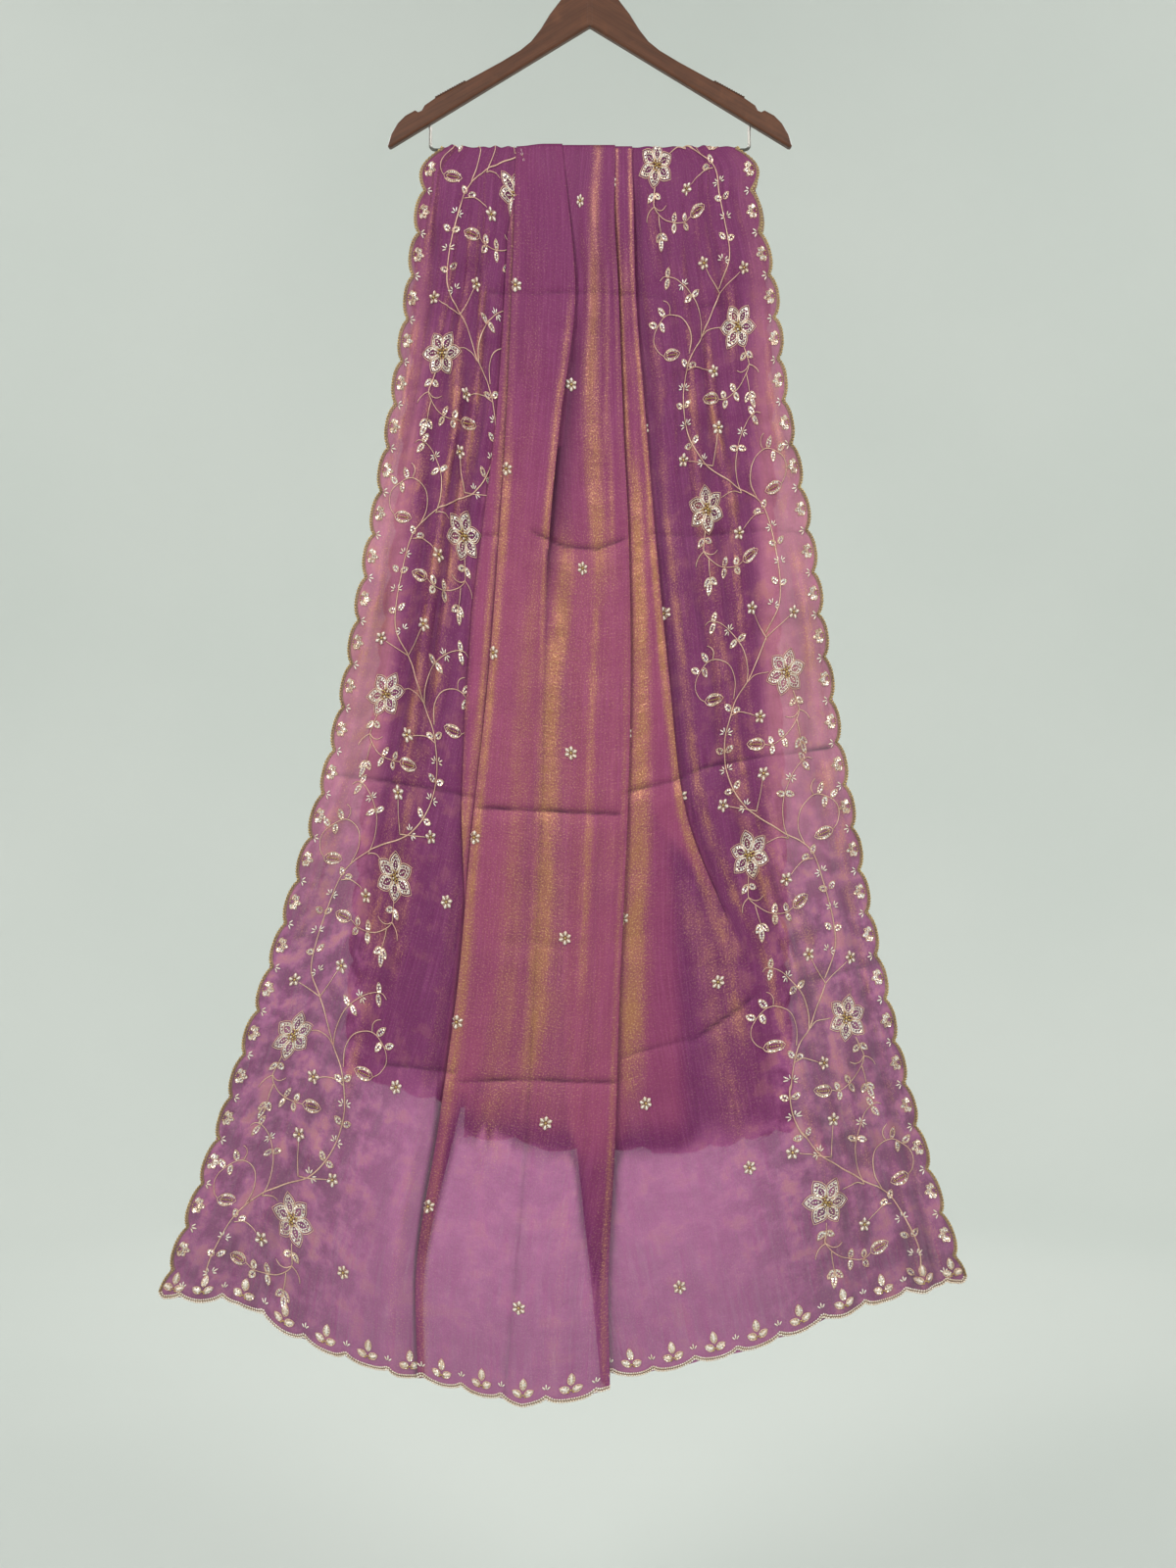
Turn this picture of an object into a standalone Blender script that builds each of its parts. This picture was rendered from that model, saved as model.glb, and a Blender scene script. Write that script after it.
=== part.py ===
"""A sheer embroidered dupatta stole folded over the bar of a wooden coat hanger.

Metres, +Z up, the front fall faces -Y. The origin is the top of the space inside the hook, where a
rail carries the hanger. The cloth is one length that hangs in front of the bar, turns over it and
hangs behind it. Each fall is a thin wall that follows one folded cross-section at every level.
"""

import math
from types import SimpleNamespace

import bmesh
import bpy
import numpy as np

# Hanger
HANGER_THICK = 0.012
HANGER_EDGE_ROUND = 0.0025
MITRE_GAP = 0.0003
HOOK_WIRE = 0.0038
HOOK_INSIDE = 0.038
WOOD_TOP = -0.060
BAR_WIRE = 0.0035
BAR_LEG_X = 0.1765
BAR_BEND = 0.005
SEAT_GAP = 0.0003
SHANK_HIGH = 0.0085
SHANK_NECK = ((0.0011, 0.0125), (0.0044, 0.0162), (0.0090, 0.0192))
HOOK_ARC = (-52, 212)

# Cloth
CLOTH_WIDTH = 0.970
WALL = 0.001
TOP_LAYER = 0.0016
LAYER = 0.002
SCALLOP_DEEP = 0.009
SCALLOP_NECK = 0.003
SCALLOP_STEPS = 3
SCALLOP_SNAP = 0.12
# The corner lobe at the hem, as shares of a scallop's depth: how far down and how wide.
CORNER_ROUND = ((0.5, 0.95), (0.85, 0.75), (1.0, 0.45))
SIDE_SCALLOPS_FRONT = 26.5
SIDE_SCALLOPS_BACK = 21.5
HEM_SCALLOPS = 20
SEAM = 0.0003

# The bar's centre lies low enough under the wood for the cloth to turn over it.
BAR_Z = -0.2450
TURN_RADIUS = BAR_WIRE / 2 + SEAM + WALL / 2
SEAM_ANGLE = math.radians(4.5)
TURN_ROWS = 2

# Outline of one hanger arm: millimetres out from the middle and down from the top of the wood.
ARM_TOP_EDGE = (
    (0.0, 0.0), (13.0, 1.6), (23.5, 8.0), (31.5, 19.5), (44.5, 36.5), (54.8, 53.2), (65.0, 66.2),
    (77.0, 76.0), (97.7, 88.5), (132.4, 107.5), (171.5, 129.1), (183.0, 137.0),
)
ARM_NOTCH = ((186.0, 142.6), (189.6, 144.2), (193.2, 142.3))
ARM_TIP = ((204.0, 148.2), (212.7, 157.0), (219.8, 169.2), (223.4, 181.4), (221.6, 184.6))
ARM_UNDER = (0.0, 49.9)

# Grip strip let in along the shoulder: its run along the arm's top edge and its teeth.
GRIP_FROM = (137.0, 110.6)
GRIP_TO = (170.5, 128.9)
GRIP_TEETH = 13
GRIP_HIGH = 0.0016
GRIP_WIDE = 0.008

# Folds of the falls. Each row is a level from the bar (0) to the hem (1). Columns, in millimetres:
# left edge, then the four pleat edges, then the right edge, measured from the middle of the hanger.
FOLD_COLUMNS = ("left", "panel_left", "dart", "panel_right", "ridge", "right")
FRONT_FOLDS = (
    (0.00, (-170.5, -81.0, -30.3, 28.1, 47.2, 170.5)),
    (0.012, (-184.0, -82.5, -28.5, 28.1, 47.2, 184.0)),
    (0.04, (-190.9, -82.9, -24.4, 27.1, 48.3, 187.0)),
    (0.12, (-204.5, -86.2, -15.7, 32.0, 50.8, 207.9)),
    (0.22, (-220.8, -92.1, -32.0, 36.9, 61.3, 219.8)),
    (0.32, (-242.5, -100.3, -45.0, 43.2, 72.2, 243.7)),
    (0.44, (-267.5, -112.7, -49.4, 45.0, 87.4, 264.3)),
    (0.56, (-298.9, -130.1, -53.7, 40.7, 106.9, 287.1)),
    (0.68, (-343.4, -144.8, -61.3, 33.1, 160.0, 314.2)),
    (0.80, (-390.1, -167.0, -70.0, 28.0, 186.0, 344.6)),
    (0.92, (-440.1, -191.4, -83.0, 20.4, 213.0, 384.8)),
    (1.00, (-474.8, -190.0, -93.9, 22.2, 222.0, 415.2)),
)
BACK_FOLDS = (
    (0.00, (-170.5, -81.0, -30.3, 28.1, 47.2, 170.5)),
    (0.015, (-182.0, -82.5, -28.5, 28.1, 47.2, 182.0)),
    (0.05, (-189.0, -86.0, -26.0, 28.5, 50.0, 190.0)),
    (0.20, (-200.0, -93.0, -25.0, 33.0, 57.0, 203.0)),
    (0.40, (-219.0, -106.0, -31.0, 40.0, 68.0, 210.0)),
    (0.60, (-243.0, -121.0, -40.0, 43.0, 84.0, 217.0)),
    (0.80, (-264.0, -131.0, -47.0, 42.0, 98.0, 222.0)),
    (1.00, (-276.0, -140.0, -52.0, 44.0, 110.0, 229.0)),
)

# How far each pleat runs back under its visible edge, in millimetres; below 0 the pleat has opened.
LAP_COLUMNS = ("panel_left", "dart", "panel_right", "ridge")
FRONT_LAPS = (
    (0.00, (13.0, 5.0, 9.0, 9.0)),
    (0.04, (46.0, 17.0, 32.0, 33.0)),
    (0.12, (62.0, 24.0, 47.0, 45.0)),
    (0.22, (65.0, 21.0, 58.0, 50.0)),
    (0.32, (65.0, 2.0, 62.0, 52.0)),
    (0.44, (60.0, -22.0, 65.0, 42.0)),
    (0.56, (49.0, -27.0, 63.0, 26.0)),
    (0.68, (37.0, -27.0, 56.0, -9.0)),
    (0.80, (20.0, -27.0, 44.0, -27.0)),
    (0.92, (9.0, -27.0, 20.0, -38.0)),
    (1.00, (7.0, -27.0, 11.0, -38.0)),
)
BACK_LAPS = (
    (0.00, (13.0, 5.0, 9.0, 9.0)),
    (0.05, (46.0, 17.0, 32.0, 33.0)),
    (0.20, (62.0, 24.0, 50.0, 46.0)),
    (0.40, (66.0, 26.0, 60.0, 50.0)),
    (0.60, (66.0, 24.0, 62.0, 50.0)),
    (0.80, (64.0, 20.0, 60.0, 46.0)),
    (1.00, (62.0, 16.0, 56.0, 42.0)),
)

# Where those folds lie in the flat cloth, in millimetres from its left edge: the left border where it
# passes under the panel, the panel's edge, the dart, the panel's right edge, the narrow pleat where
# it comes out, its outer edge, and the right border where it comes out.
CLOTH_COLUMNS = ("under_left", "panel_left", "dart", "panel_right", "pleat", "ridge", "under_right")
FRONT_CLOTH = (
    (0.00, (126.0, 311.0, 374.0, 496.0, 635.0, 657.0, 803.0)),
    (0.04, (130.0, 311.0, 374.0, 496.0, 635.0, 658.0, 798.0)),
    (0.12, (148.0, 311.0, 381.0, 496.0, 638.0, 660.0, 779.0)),
    (0.22, (163.0, 311.0, 374.0, 496.0, 640.0, 667.0, 767.0)),
    (0.32, (179.0, 311.0, 379.0, 496.0, 642.0, 675.0, 762.0)),
    (0.44, (192.0, 311.0, 397.0, 496.0, 645.0, 691.0, 760.0)),
    (0.56, (214.0, 311.0, 398.0, 497.0, 648.0, 720.0, 766.0)),
    (0.68, (241.0, 311.0, 399.0, 499.0, 649.0, 778.0, 800.0)),
    (0.80, (269.0, 311.0, 411.0, 502.0, 613.0, 786.0, 817.0)),
    (0.92, (295.0, 311.0, 423.0, 514.0, 575.0, 778.0, 820.0)),
    (1.00, (301.0, 311.0, 416.0, 523.0, 556.0, 766.0, 808.0)),
)
BACK_CLOTH = (
    (0.00, (126.0, 311.0, 374.0, 496.0, 635.0, 657.0, 803.0)),
    (0.05, (130.0, 311.0, 374.0, 496.0, 635.0, 658.0, 800.0)),
    (0.20, (136.0, 311.0, 380.0, 496.0, 636.0, 662.0, 795.0)),
    (0.40, (140.0, 311.0, 384.0, 496.0, 638.0, 668.0, 800.0)),
    (0.60, (146.0, 311.0, 388.0, 496.0, 640.0, 684.0, 812.0)),
    (0.80, (156.0, 311.0, 390.0, 496.0, 640.0, 700.0, 822.0)),
    (1.00, (160.0, 311.0, 394.0, 496.0, 640.0, 710.0, 826.0)),
)

# Drop of each hem below the bar, in millimetres, against the place across the flat cloth.
FRONT_DROP = (
    (0.0, 1258.0), (26.0, 1264.0), (93.0, 1266.0), (126.0, 1285.0), (160.0, 1303.0), (206.0, 1322.0),
    (277.0, 1347.0), (311.0, 1351.0), (434.0, 1376.0), (510.0, 1365.0), (543.0, 1346.0),
    (608.0, 1345.0), (705.0, 1320.0), (803.0, 1285.0), (901.0, 1257.0), (970.0, 1241.0),
)
BACK_DROP = (
    (0.0, 1018.0), (150.0, 1052.0), (311.0, 1090.0), (434.0, 1102.0), (800.0, 1104.0),
    (900.0, 1094.0), (970.0, 1080.0),
)

# Gathers and waves, heights in metres. A border's gathers grow from the bar to the hem.
BORDER_GATHERS = 5
BORDER_GATHER_LEVELS = (0.0, 0.25, 1.0)
BORDER_GATHER_HIGH = (0.0028, 0.0062, 0.0072)
GATHER_DRIFT = 0.6
GATHER_UNEVEN = 0.035
GATHER_UNEVEN_WAVES = 1.3
GATHER_HEIGHT_SPREAD = 0.25
GATHER_HEIGHT_WAVES = 1.7
RIGHT_BORDER_LEAN = 0.3
PANEL_SWELL = 0.0035
PLEAT_SWELL = 0.0030
SWELL_FROM_LEVEL = 0.08
SWAY_HIGH = 0.0085
SWAY_WAVES = 3.4
SWAY_SIDE_SHIFT = 0.22
SWAY_DRIFT = 0.35
FLUTTER_HIGH = 0.0050
FLUTTER_WAVES = 5.5
FLUTTER_REACH = 0.09

# How a pleat's turns flatten as it opens, and the plain strip where a stretch comes out of a pleat.
TURN_OPEN = 0.003
SHUT_RANGE = 0.006
PLAIN_STRIP = 0.006
LAYER_LEVEL = 0.10
RISE_SPEED = 1.6

# Steps along the section, piece by piece
STEPS_BORDER = 18
STEPS_HIDDEN = 2
STEPS_DEEP = 3
STEPS_TURN = 3
STEPS_PANEL = 5
STEPS_PLEAT = 4

FRONT_LEVELS = (0.01, 0.03, 0.07, 0.14, 0.22, 0.32, 0.44, 0.56, 0.68, 0.80, 0.92, 1.0)
BACK_LEVELS = (0.012, 0.04, 0.10, 0.22, 0.38, 0.55, 0.72, 0.88, 1.0)

MM = 0.001


def clear_scene():
    for item in list(bpy.data.objects):
        bpy.data.objects.remove(item, do_unlink=True)


def make_material(name, colour, roughness, metallic):
    material = bpy.data.materials.new(name)
    material.use_nodes = True
    shader = material.node_tree.nodes["Principled BSDF"]
    shader.inputs["Base Color"].default_value = (*colour, 1.0)
    shader.inputs["Roughness"].default_value = roughness
    shader.inputs["Metallic"].default_value = metallic
    return material


def add_object(name, mesh, material):
    thing = bpy.data.objects.new(name, mesh)
    bpy.context.scene.collection.objects.link(thing)
    thing.data.materials.append(material)
    return thing


def smooth_step(value):
    value = min(1.0, max(0.0, value))
    return value * value * (3 - 2 * value)


def row_at(table, level):
    """The table's row at any level, on smooth curves through its rows."""
    levels = np.array([row[0] for row in table])
    values = np.array([row[1] for row in table], dtype=float)
    slopes = np.gradient(values, levels, axis=0)
    upper = int(np.clip(np.searchsorted(levels, level), 1, len(levels) - 1))
    lower = upper - 1
    span = levels[upper] - levels[lower]
    share = (level - levels[lower]) / span
    square, cube = share**2, share**3
    return (
        (2 * cube - 3 * square + 1) * values[lower]
        + (cube - 2 * square + share) * span * slopes[lower]
        + (3 * square - 2 * cube) * values[upper]
        + (cube - square) * span * slopes[upper]
    )


class Fall:
    """One side of the hung cloth: which way it faces and the tables that shape it."""

    def __init__(self, facing, folds, laps, cloth, drops, levels, scallops):
        self.facing = facing
        self.folds = folds
        self.laps = laps
        self.cloth = cloth
        self.drops = drops
        self.levels = levels
        self.scallops = scallops

    def drop(self, across):
        """How far below the bar the hem lies, for a place across the flat cloth."""
        return np.interp(across / MM, *zip(*self.drops)) * MM


FRONT = Fall(1, FRONT_FOLDS, FRONT_LAPS, FRONT_CLOTH, FRONT_DROP, FRONT_LEVELS, SIDE_SCALLOPS_FRONT)
BACK = Fall(-1, BACK_FOLDS, BACK_LAPS, BACK_CLOTH, BACK_DROP, BACK_LEVELS, SIDE_SCALLOPS_BACK)


class Section:
    """The folded cross-section at one level: places (x, depth) and their places in the flat cloth."""

    def __init__(self, layer):
        self.layer = layer
        self.x, self.depth, self.across = [], [], []

    def add(self, x, depth, across):
        self.x.append(x)
        self.depth.append(depth)
        self.across.append(across)

    def run(self, start, end, layers, cloth, steps, swell=None):
        """A stretch from start to end, its depth going from one layer to another."""
        for step in range(1, steps + 1):
            share = step / steps
            rise = layers[0] + (layers[1] - layers[0]) * smooth_step(share * RISE_SPEED)
            depth = rise * self.layer + (swell(share) if swell else 0.0)
            self.add(start + (end - start) * share, depth, cloth[0] + (cloth[1] - cloth[0]) * share)

    def turn(self, x, bulge, layers, across, opened=0.0):
        """A half turn round a fold's edge at x, from one layer to the next; flat where it has opened."""
        for step in range(1, STEPS_TURN):
            angle = math.pi * step / STEPS_TURN
            share = (1 - math.cos(angle)) / 2
            depth = (layers[0] + (layers[1] - layers[0]) * share) * self.layer
            ahead = opened * step / STEPS_TURN
            self.add(x - bulge * (1 - math.sin(angle)) + ahead, depth, across + ahead)


def turns(count):
    return 2 * math.pi * count


def bumps(high, count):
    """Even swells across a stretch, flat at both its ends."""
    return lambda share: high * (0.5 - 0.5 * math.cos(turns(count * share)))


def gathers(high, lean):
    """Soft upright gathers of uneven width and height, flat at both ends of the border."""

    def swell(share):
        uneven = GATHER_UNEVEN * math.sin(turns(GATHER_UNEVEN_WAVES * share + lean))
        place = share + uneven * math.sin(math.pi * share)
        size = 1 - GATHER_HEIGHT_SPREAD * (1 - math.sin(turns(GATHER_HEIGHT_WAVES * share + lean)))
        return high * size * (0.5 - 0.5 * math.cos(turns(BORDER_GATHERS * place)))

    return swell


def columns_at(names, table, level):
    """A table's row at a level, in metres, by the names of its columns."""
    return SimpleNamespace(**dict(zip(names, row_at(table, level) * MM)))


def section_at(fall, level):
    """The cloth's cross-section at a level of a fall, from its left edge to its right edge."""
    fold = columns_at(FOLD_COLUMNS, fall.folds, level)
    lap = columns_at(LAP_COLUMNS, fall.laps, level)
    cloth = columns_at(CLOTH_COLUMNS, fall.cloth, level)
    edge = SCALLOP_DEEP + SEAM
    left, right = fold.left + edge, fold.right - edge

    layer = TOP_LAYER + (LAYER - TOP_LAYER) * smooth_step(level / LAYER_LEVEL)
    bulge = layer / 2
    dart_shut, ridge_shut = (
        smooth_step((each + SHUT_RANGE) / (2 * SHUT_RANGE)) for each in (lap.dart, lap.ridge)
    )
    dart_open, ridge_open = (
        TURN_OPEN * smooth_step(-each / (2 * SHUT_RANGE)) for each in (lap.dart, lap.ridge)
    )
    dart_bulge, ridge_bulge = bulge * dart_shut, bulge * ridge_shut
    grown = smooth_step(level / SWELL_FROM_LEVEL)
    border_high = np.interp(level, BORDER_GATHER_LEVELS, BORDER_GATHER_HIGH)
    drift = GATHER_DRIFT * level

    hidden_left = (cloth.under_left + cloth.panel_left) / 2
    hidden_dart = cloth.dart + abs(lap.dart)
    hidden_right = (cloth.panel_right + cloth.pleat) / 2
    hidden_ridge = cloth.ridge + abs(lap.ridge)
    if lap.ridge > 0:
        hidden_ridge = (cloth.ridge + cloth.under_right) / 2
    inner_left = fold.panel_left + lap.panel_left
    inner_dart = fold.dart - lap.dart
    inner_right = fold.panel_right - lap.panel_right
    inner_ridge = fold.ridge - lap.ridge
    out_dart = max(fold.dart, inner_dart) + PLAIN_STRIP
    out_ridge = max(fold.ridge, inner_ridge) + PLAIN_STRIP
    cloth_out_dart = hidden_dart + out_dart - inner_dart
    dart_top, dart_middle = 4 + 2 * dart_shut, 4 + dart_shut

    s = Section(layer)
    # Left border, then its way under the panel and back
    s.add(left, 0.0, edge)
    s.run(left, fold.panel_left, (0, 0), (edge, cloth.under_left), STEPS_BORDER, gathers(border_high, drift))
    s.run(fold.panel_left, inner_left - bulge, (0, 0), (cloth.under_left, hidden_left), STEPS_HIDDEN)
    s.turn(inner_left, bulge, (0, 1), hidden_left)
    s.run(inner_left - bulge, fold.panel_left + bulge, (1, 1), (hidden_left, cloth.panel_left), STEPS_HIDDEN)
    s.turn(fold.panel_left, -bulge, (1, 2), cloth.panel_left)
    # Panel up to the dart, and the dart's two turns
    s.run(
        fold.panel_left + bulge, fold.dart - dart_bulge, (2, dart_top), (cloth.panel_left, cloth.dart),
        STEPS_PANEL, bumps(PANEL_SWELL * grown, 1),
    )
    s.turn(fold.dart, dart_bulge, (dart_top, dart_middle), cloth.dart, dart_open)
    s.run(
        fold.dart - dart_bulge + dart_open, inner_dart + dart_bulge, (dart_middle, dart_middle),
        (cloth.dart + dart_open, hidden_dart), STEPS_HIDDEN,
    )
    s.turn(inner_dart, -dart_bulge, (dart_middle, 4), hidden_dart, dart_open)
    s.run(
        inner_dart + dart_bulge + dart_open, out_dart, (4, 4), (hidden_dart + dart_open, cloth_out_dart),
        STEPS_HIDDEN,
    )
    # Panel from the dart to its right edge, and its way back under itself
    s.run(
        out_dart, fold.panel_right - bulge, (4, 4), (cloth_out_dart, cloth.panel_right), STEPS_PANEL,
        bumps(PANEL_SWELL * grown, 2),
    )
    s.turn(fold.panel_right, bulge, (4, 3), cloth.panel_right)
    s.run(
        fold.panel_right - bulge, inner_right + bulge, (3, 3), (cloth.panel_right, hidden_right), STEPS_DEEP
    )
    s.turn(inner_right, -bulge, (3, 2), hidden_right)
    s.run(inner_right + bulge, fold.panel_right, (2, 2), (hidden_right, cloth.pleat), STEPS_DEEP)
    # Narrow pleat, and its outer edge's two turns
    s.run(
        fold.panel_right, fold.ridge - ridge_bulge, (2, 2), (cloth.pleat, cloth.ridge), STEPS_PLEAT,
        bumps(PLEAT_SWELL * grown, 1),
    )
    s.turn(fold.ridge, ridge_bulge, (2, 2 - ridge_shut), cloth.ridge, ridge_open)
    s.run(
        fold.ridge - ridge_bulge + ridge_open, inner_ridge + ridge_bulge, (2 - ridge_shut, ridge_shut),
        (cloth.ridge + ridge_open, hidden_ridge), STEPS_HIDDEN,
    )
    s.turn(inner_ridge, -ridge_bulge, (ridge_shut, 0), hidden_ridge, ridge_open)
    # Right border
    s.run(
        inner_ridge + ridge_bulge + ridge_open, out_ridge, (0, 0),
        (hidden_ridge + ridge_open, cloth.under_right), STEPS_HIDDEN,
    )
    s.run(
        out_ridge, right, (0, 0), (cloth.under_right, CLOTH_WIDTH - edge), STEPS_BORDER,
        gathers(border_high, RIGHT_BORDER_LEAN + drift),
    )
    x, depth, across = np.array(s.x), np.array(s.depth), np.array(s.across)
    return x, depth + sway(fall, level, (x - left) / (right - left)), across


def sway(fall, level, share):
    """Broad waves that every layer follows together, growing towards the hem, and the edges' flutter."""
    share = np.clip(share, -0.1, 1.1)
    grow = SWAY_HIGH * smooth_step((level - 0.05) / 0.9)
    broad = 1 + np.sin(turns(SWAY_WAVES * share + SWAY_SIDE_SHIFT * fall.facing + SWAY_DRIFT * level))
    flutter = FLUTTER_HIGH * smooth_step((level - 0.03) / 0.15)
    along = 1 + math.sin(turns(FLUTTER_WAVES * level))
    near_edge = np.exp(-((share / FLUTTER_REACH) ** 2)) + np.exp(-(((1 - share) / FLUTTER_REACH) ** 2))
    return grow * broad + flutter * along * near_edge


def offset_curve(x, depth, distance):
    """The section moved sideways by a distance, along its own normals; its two ends move straight out."""
    along_x, along_depth = np.gradient(x), np.gradient(depth)
    along_depth[[0, -1]] = 0.0
    length = np.hypot(along_x, along_depth)
    return x - along_depth / length * distance, depth + along_x / length * distance


def place_turned(fall, x, depth, angle):
    """Points of a section where it turns over the bar, at an angle from straight up."""
    reach = TURN_RADIUS + depth
    y = -fall.facing * reach * math.sin(angle)
    z = BAR_Z + reach * math.cos(angle)
    return np.column_stack((x, y, z))


def place_hung(fall, x, depth, across, level):
    """Points of a section where it hangs below the bar."""
    y = -fall.facing * (TURN_RADIUS + depth)
    z = BAR_Z - level * fall.drop(across)
    return np.column_stack((x, y, z))


def wall_rows(fall):
    """Outer and inner rows of points of a fall's wall, from the seam over the bar to the hem."""
    outer, inner = [], []
    x, depth, across = section_at(fall, 0.0)
    for step in range(TURN_ROWS + 1):
        angle = SEAM_ANGLE + (math.pi / 2 - SEAM_ANGLE) * step / TURN_ROWS
        for rows, side in ((outer, WALL / 2), (inner, -WALL / 2)):
            rows.append(place_turned(fall, *offset_curve(x, depth, side), angle))
    for level in fall.levels:
        x, depth, across = section_at(fall, level)
        for rows, side in ((outer, WALL / 2), (inner, -WALL / 2)):
            rows.append(place_hung(fall, *offset_curve(x, depth, side), across, level))
    return np.array(outer), np.array(inner)


def closed_wall(name, outer, inner, facing, material):
    """A closed wall between two grids of points that have the same rows and columns."""
    rows, columns = outer.shape[:2]
    mesh = bpy.data.meshes.new(name)
    shell = bmesh.new()
    front = [[shell.verts.new(point) for point in row] for row in outer]
    behind = [[shell.verts.new(point) for point in row] for row in inner]

    def face(*corners):
        shell.faces.new(corners if facing > 0 else corners[::-1])

    for i in range(rows - 1):
        for j in range(columns - 1):
            face(front[i][j], front[i + 1][j], front[i + 1][j + 1], front[i][j + 1])
            face(behind[i][j], behind[i][j + 1], behind[i + 1][j + 1], behind[i + 1][j])
    for i in range(rows - 1):
        face(front[i][0], behind[i][0], behind[i + 1][0], front[i + 1][0])
        face(front[i][-1], front[i + 1][-1], behind[i + 1][-1], behind[i][-1])
    for j in range(columns - 1):
        face(front[0][j], front[0][j + 1], behind[0][j + 1], behind[0][j])
        face(front[-1][j], behind[-1][j], behind[-1][j + 1], front[-1][j + 1])
    shell.to_mesh(mesh)
    shell.free()
    mesh.shade_smooth()
    mesh.set_sharp_from_angle(angle=math.radians(50))
    return add_object(name, mesh, material)


def scallop(lobe):
    """How far the scalloped edge stands out of the straight cloth, lobes counted along it."""
    swing = math.sqrt(abs(math.sin(math.pi * lobe)))
    return SCALLOP_NECK + (SCALLOP_DEEP - SCALLOP_NECK) * swing


def along_rows(points, places):
    """Points read along a polyline at places counted in its own steps."""
    steps = np.arange(len(points))
    return np.column_stack([np.interp(places, steps, line) for line in points.T])


def side_edging(name, fall, walls, end, material):
    """The scalloped border along one side of a fall, with the rounded corner lobe at the hem."""
    outward = np.array((-1.0 if end == 0 else 1.0, 0.0, 0.0))
    outer, inner = (rows[:, end] for rows in walls)
    steps = np.linalg.norm(np.diff(outer, axis=0), axis=1)
    lengths = np.concatenate(((0.0,), np.cumsum(steps)))
    pitch = lengths[-1] / fall.scallops
    cusps = np.arange(1, round(fall.scallops * SCALLOP_STEPS)) * pitch / SCALLOP_STEPS
    cusps = cusps[np.abs(cusps[:, None] - lengths).min(axis=1) > pitch * SCALLOP_SNAP]
    stations = np.sort(np.concatenate((lengths, cusps)))
    places = np.interp(stations, lengths, np.arange(len(lengths)))
    widths = [scallop(station / pitch) for station in stations]
    drops = [0.0] * len(stations)
    for share, width in CORNER_ROUND:
        places = np.append(places, len(lengths) - 1)
        widths.append(SCALLOP_DEEP * width)
        drops.append(SCALLOP_DEEP * share)
    down = np.outer(drops, (0.0, 0.0, -1.0))
    grids = []
    for line in (outer, inner):
        near = along_rows(line, places) + outward * SEAM + down
        far = near + np.outer(widths, outward)
        pair = (far, near) if end == 0 else (near, far)
        grids.append(np.stack(pair, axis=1))
    return closed_wall(name, *grids, fall.facing, material)


def hem_edging(name, fall, walls, material):
    """The scalloped border along a fall's hem, folded with the cloth."""
    outer, inner = (rows[-1] for rows in walls)
    across = section_at(fall, fall.levels[-1])[2]
    pitch = CLOTH_WIDTH / HEM_SCALLOPS
    marks = np.arange(1, 2 * HEM_SCALLOPS) * pitch / 2
    columns = np.arange(len(across))
    at_marks = np.interp(marks, across + columns * 1e-7, columns)
    at_marks = at_marks[np.abs(at_marks - np.round(at_marks)) > SCALLOP_SNAP]
    places = np.sort(np.concatenate((columns, at_marks)))
    widths = np.array([scallop(place / pitch + 0.5) for place in np.interp(places, columns, across)])
    down = np.array((0.0, 0.0, -1.0))
    grids = []
    for line in (outer, inner):
        near = along_rows(line, places) + down * SEAM
        grids.append(np.stack((near, near + np.outer(widths, down))))
    return closed_wall(name, *grids, fall.facing, material)


def build_cloth(cloth, trim):
    for name, fall in (("front", FRONT), ("back", BACK)):
        walls = wall_rows(fall)
        closed_wall(f"cloth_{name}", *walls, fall.facing, cloth)
        side_edging(f"edging_{name}_left", fall, walls, 0, trim)
        side_edging(f"edging_{name}_right", fall, walls, -1, trim)
        hem_edging(f"edging_{name}_hem", fall, walls, trim)


def arm_outline():
    """Points of one arm's outline, out from the mitre, in metres from the top of the wood."""
    corners = [*ARM_TOP_EDGE, *ARM_NOTCH, *ARM_TIP, ARM_UNDER]
    return [(x * MM, WOOD_TOP - down * MM) for x, down in corners]


def build_arm(name, side, wood):
    """One arm of the hanger, cut from flat wood with rounded edges."""
    mesh = bpy.data.meshes.new(name)
    plank = bmesh.new()
    corners = [(side * max(x, MITRE_GAP / 2), -HANGER_THICK / 2, z) for x, z in arm_outline()]
    base = plank.faces.new([plank.verts.new(corner) for corner in corners])
    swept = bmesh.ops.extrude_face_region(plank, geom=[base])
    moved = [item for item in swept["geom"] if isinstance(item, bmesh.types.BMVert)]
    bmesh.ops.translate(plank, verts=moved, vec=(0, HANGER_THICK, 0))
    bmesh.ops.recalc_face_normals(plank, faces=plank.faces)
    plank.to_mesh(mesh)
    plank.free()
    arm = add_object(name, mesh, wood)
    rounding = arm.modifiers.new("Rounded edges", "BEVEL")
    rounding.width = HANGER_EDGE_ROUND
    rounding.segments = 2
    rounding.limit_method = "ANGLE"
    rounding.angle_limit = math.radians(60)
    mesh.shade_smooth()
    mesh.set_sharp_from_angle(angle=math.radians(40))
    return arm


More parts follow.
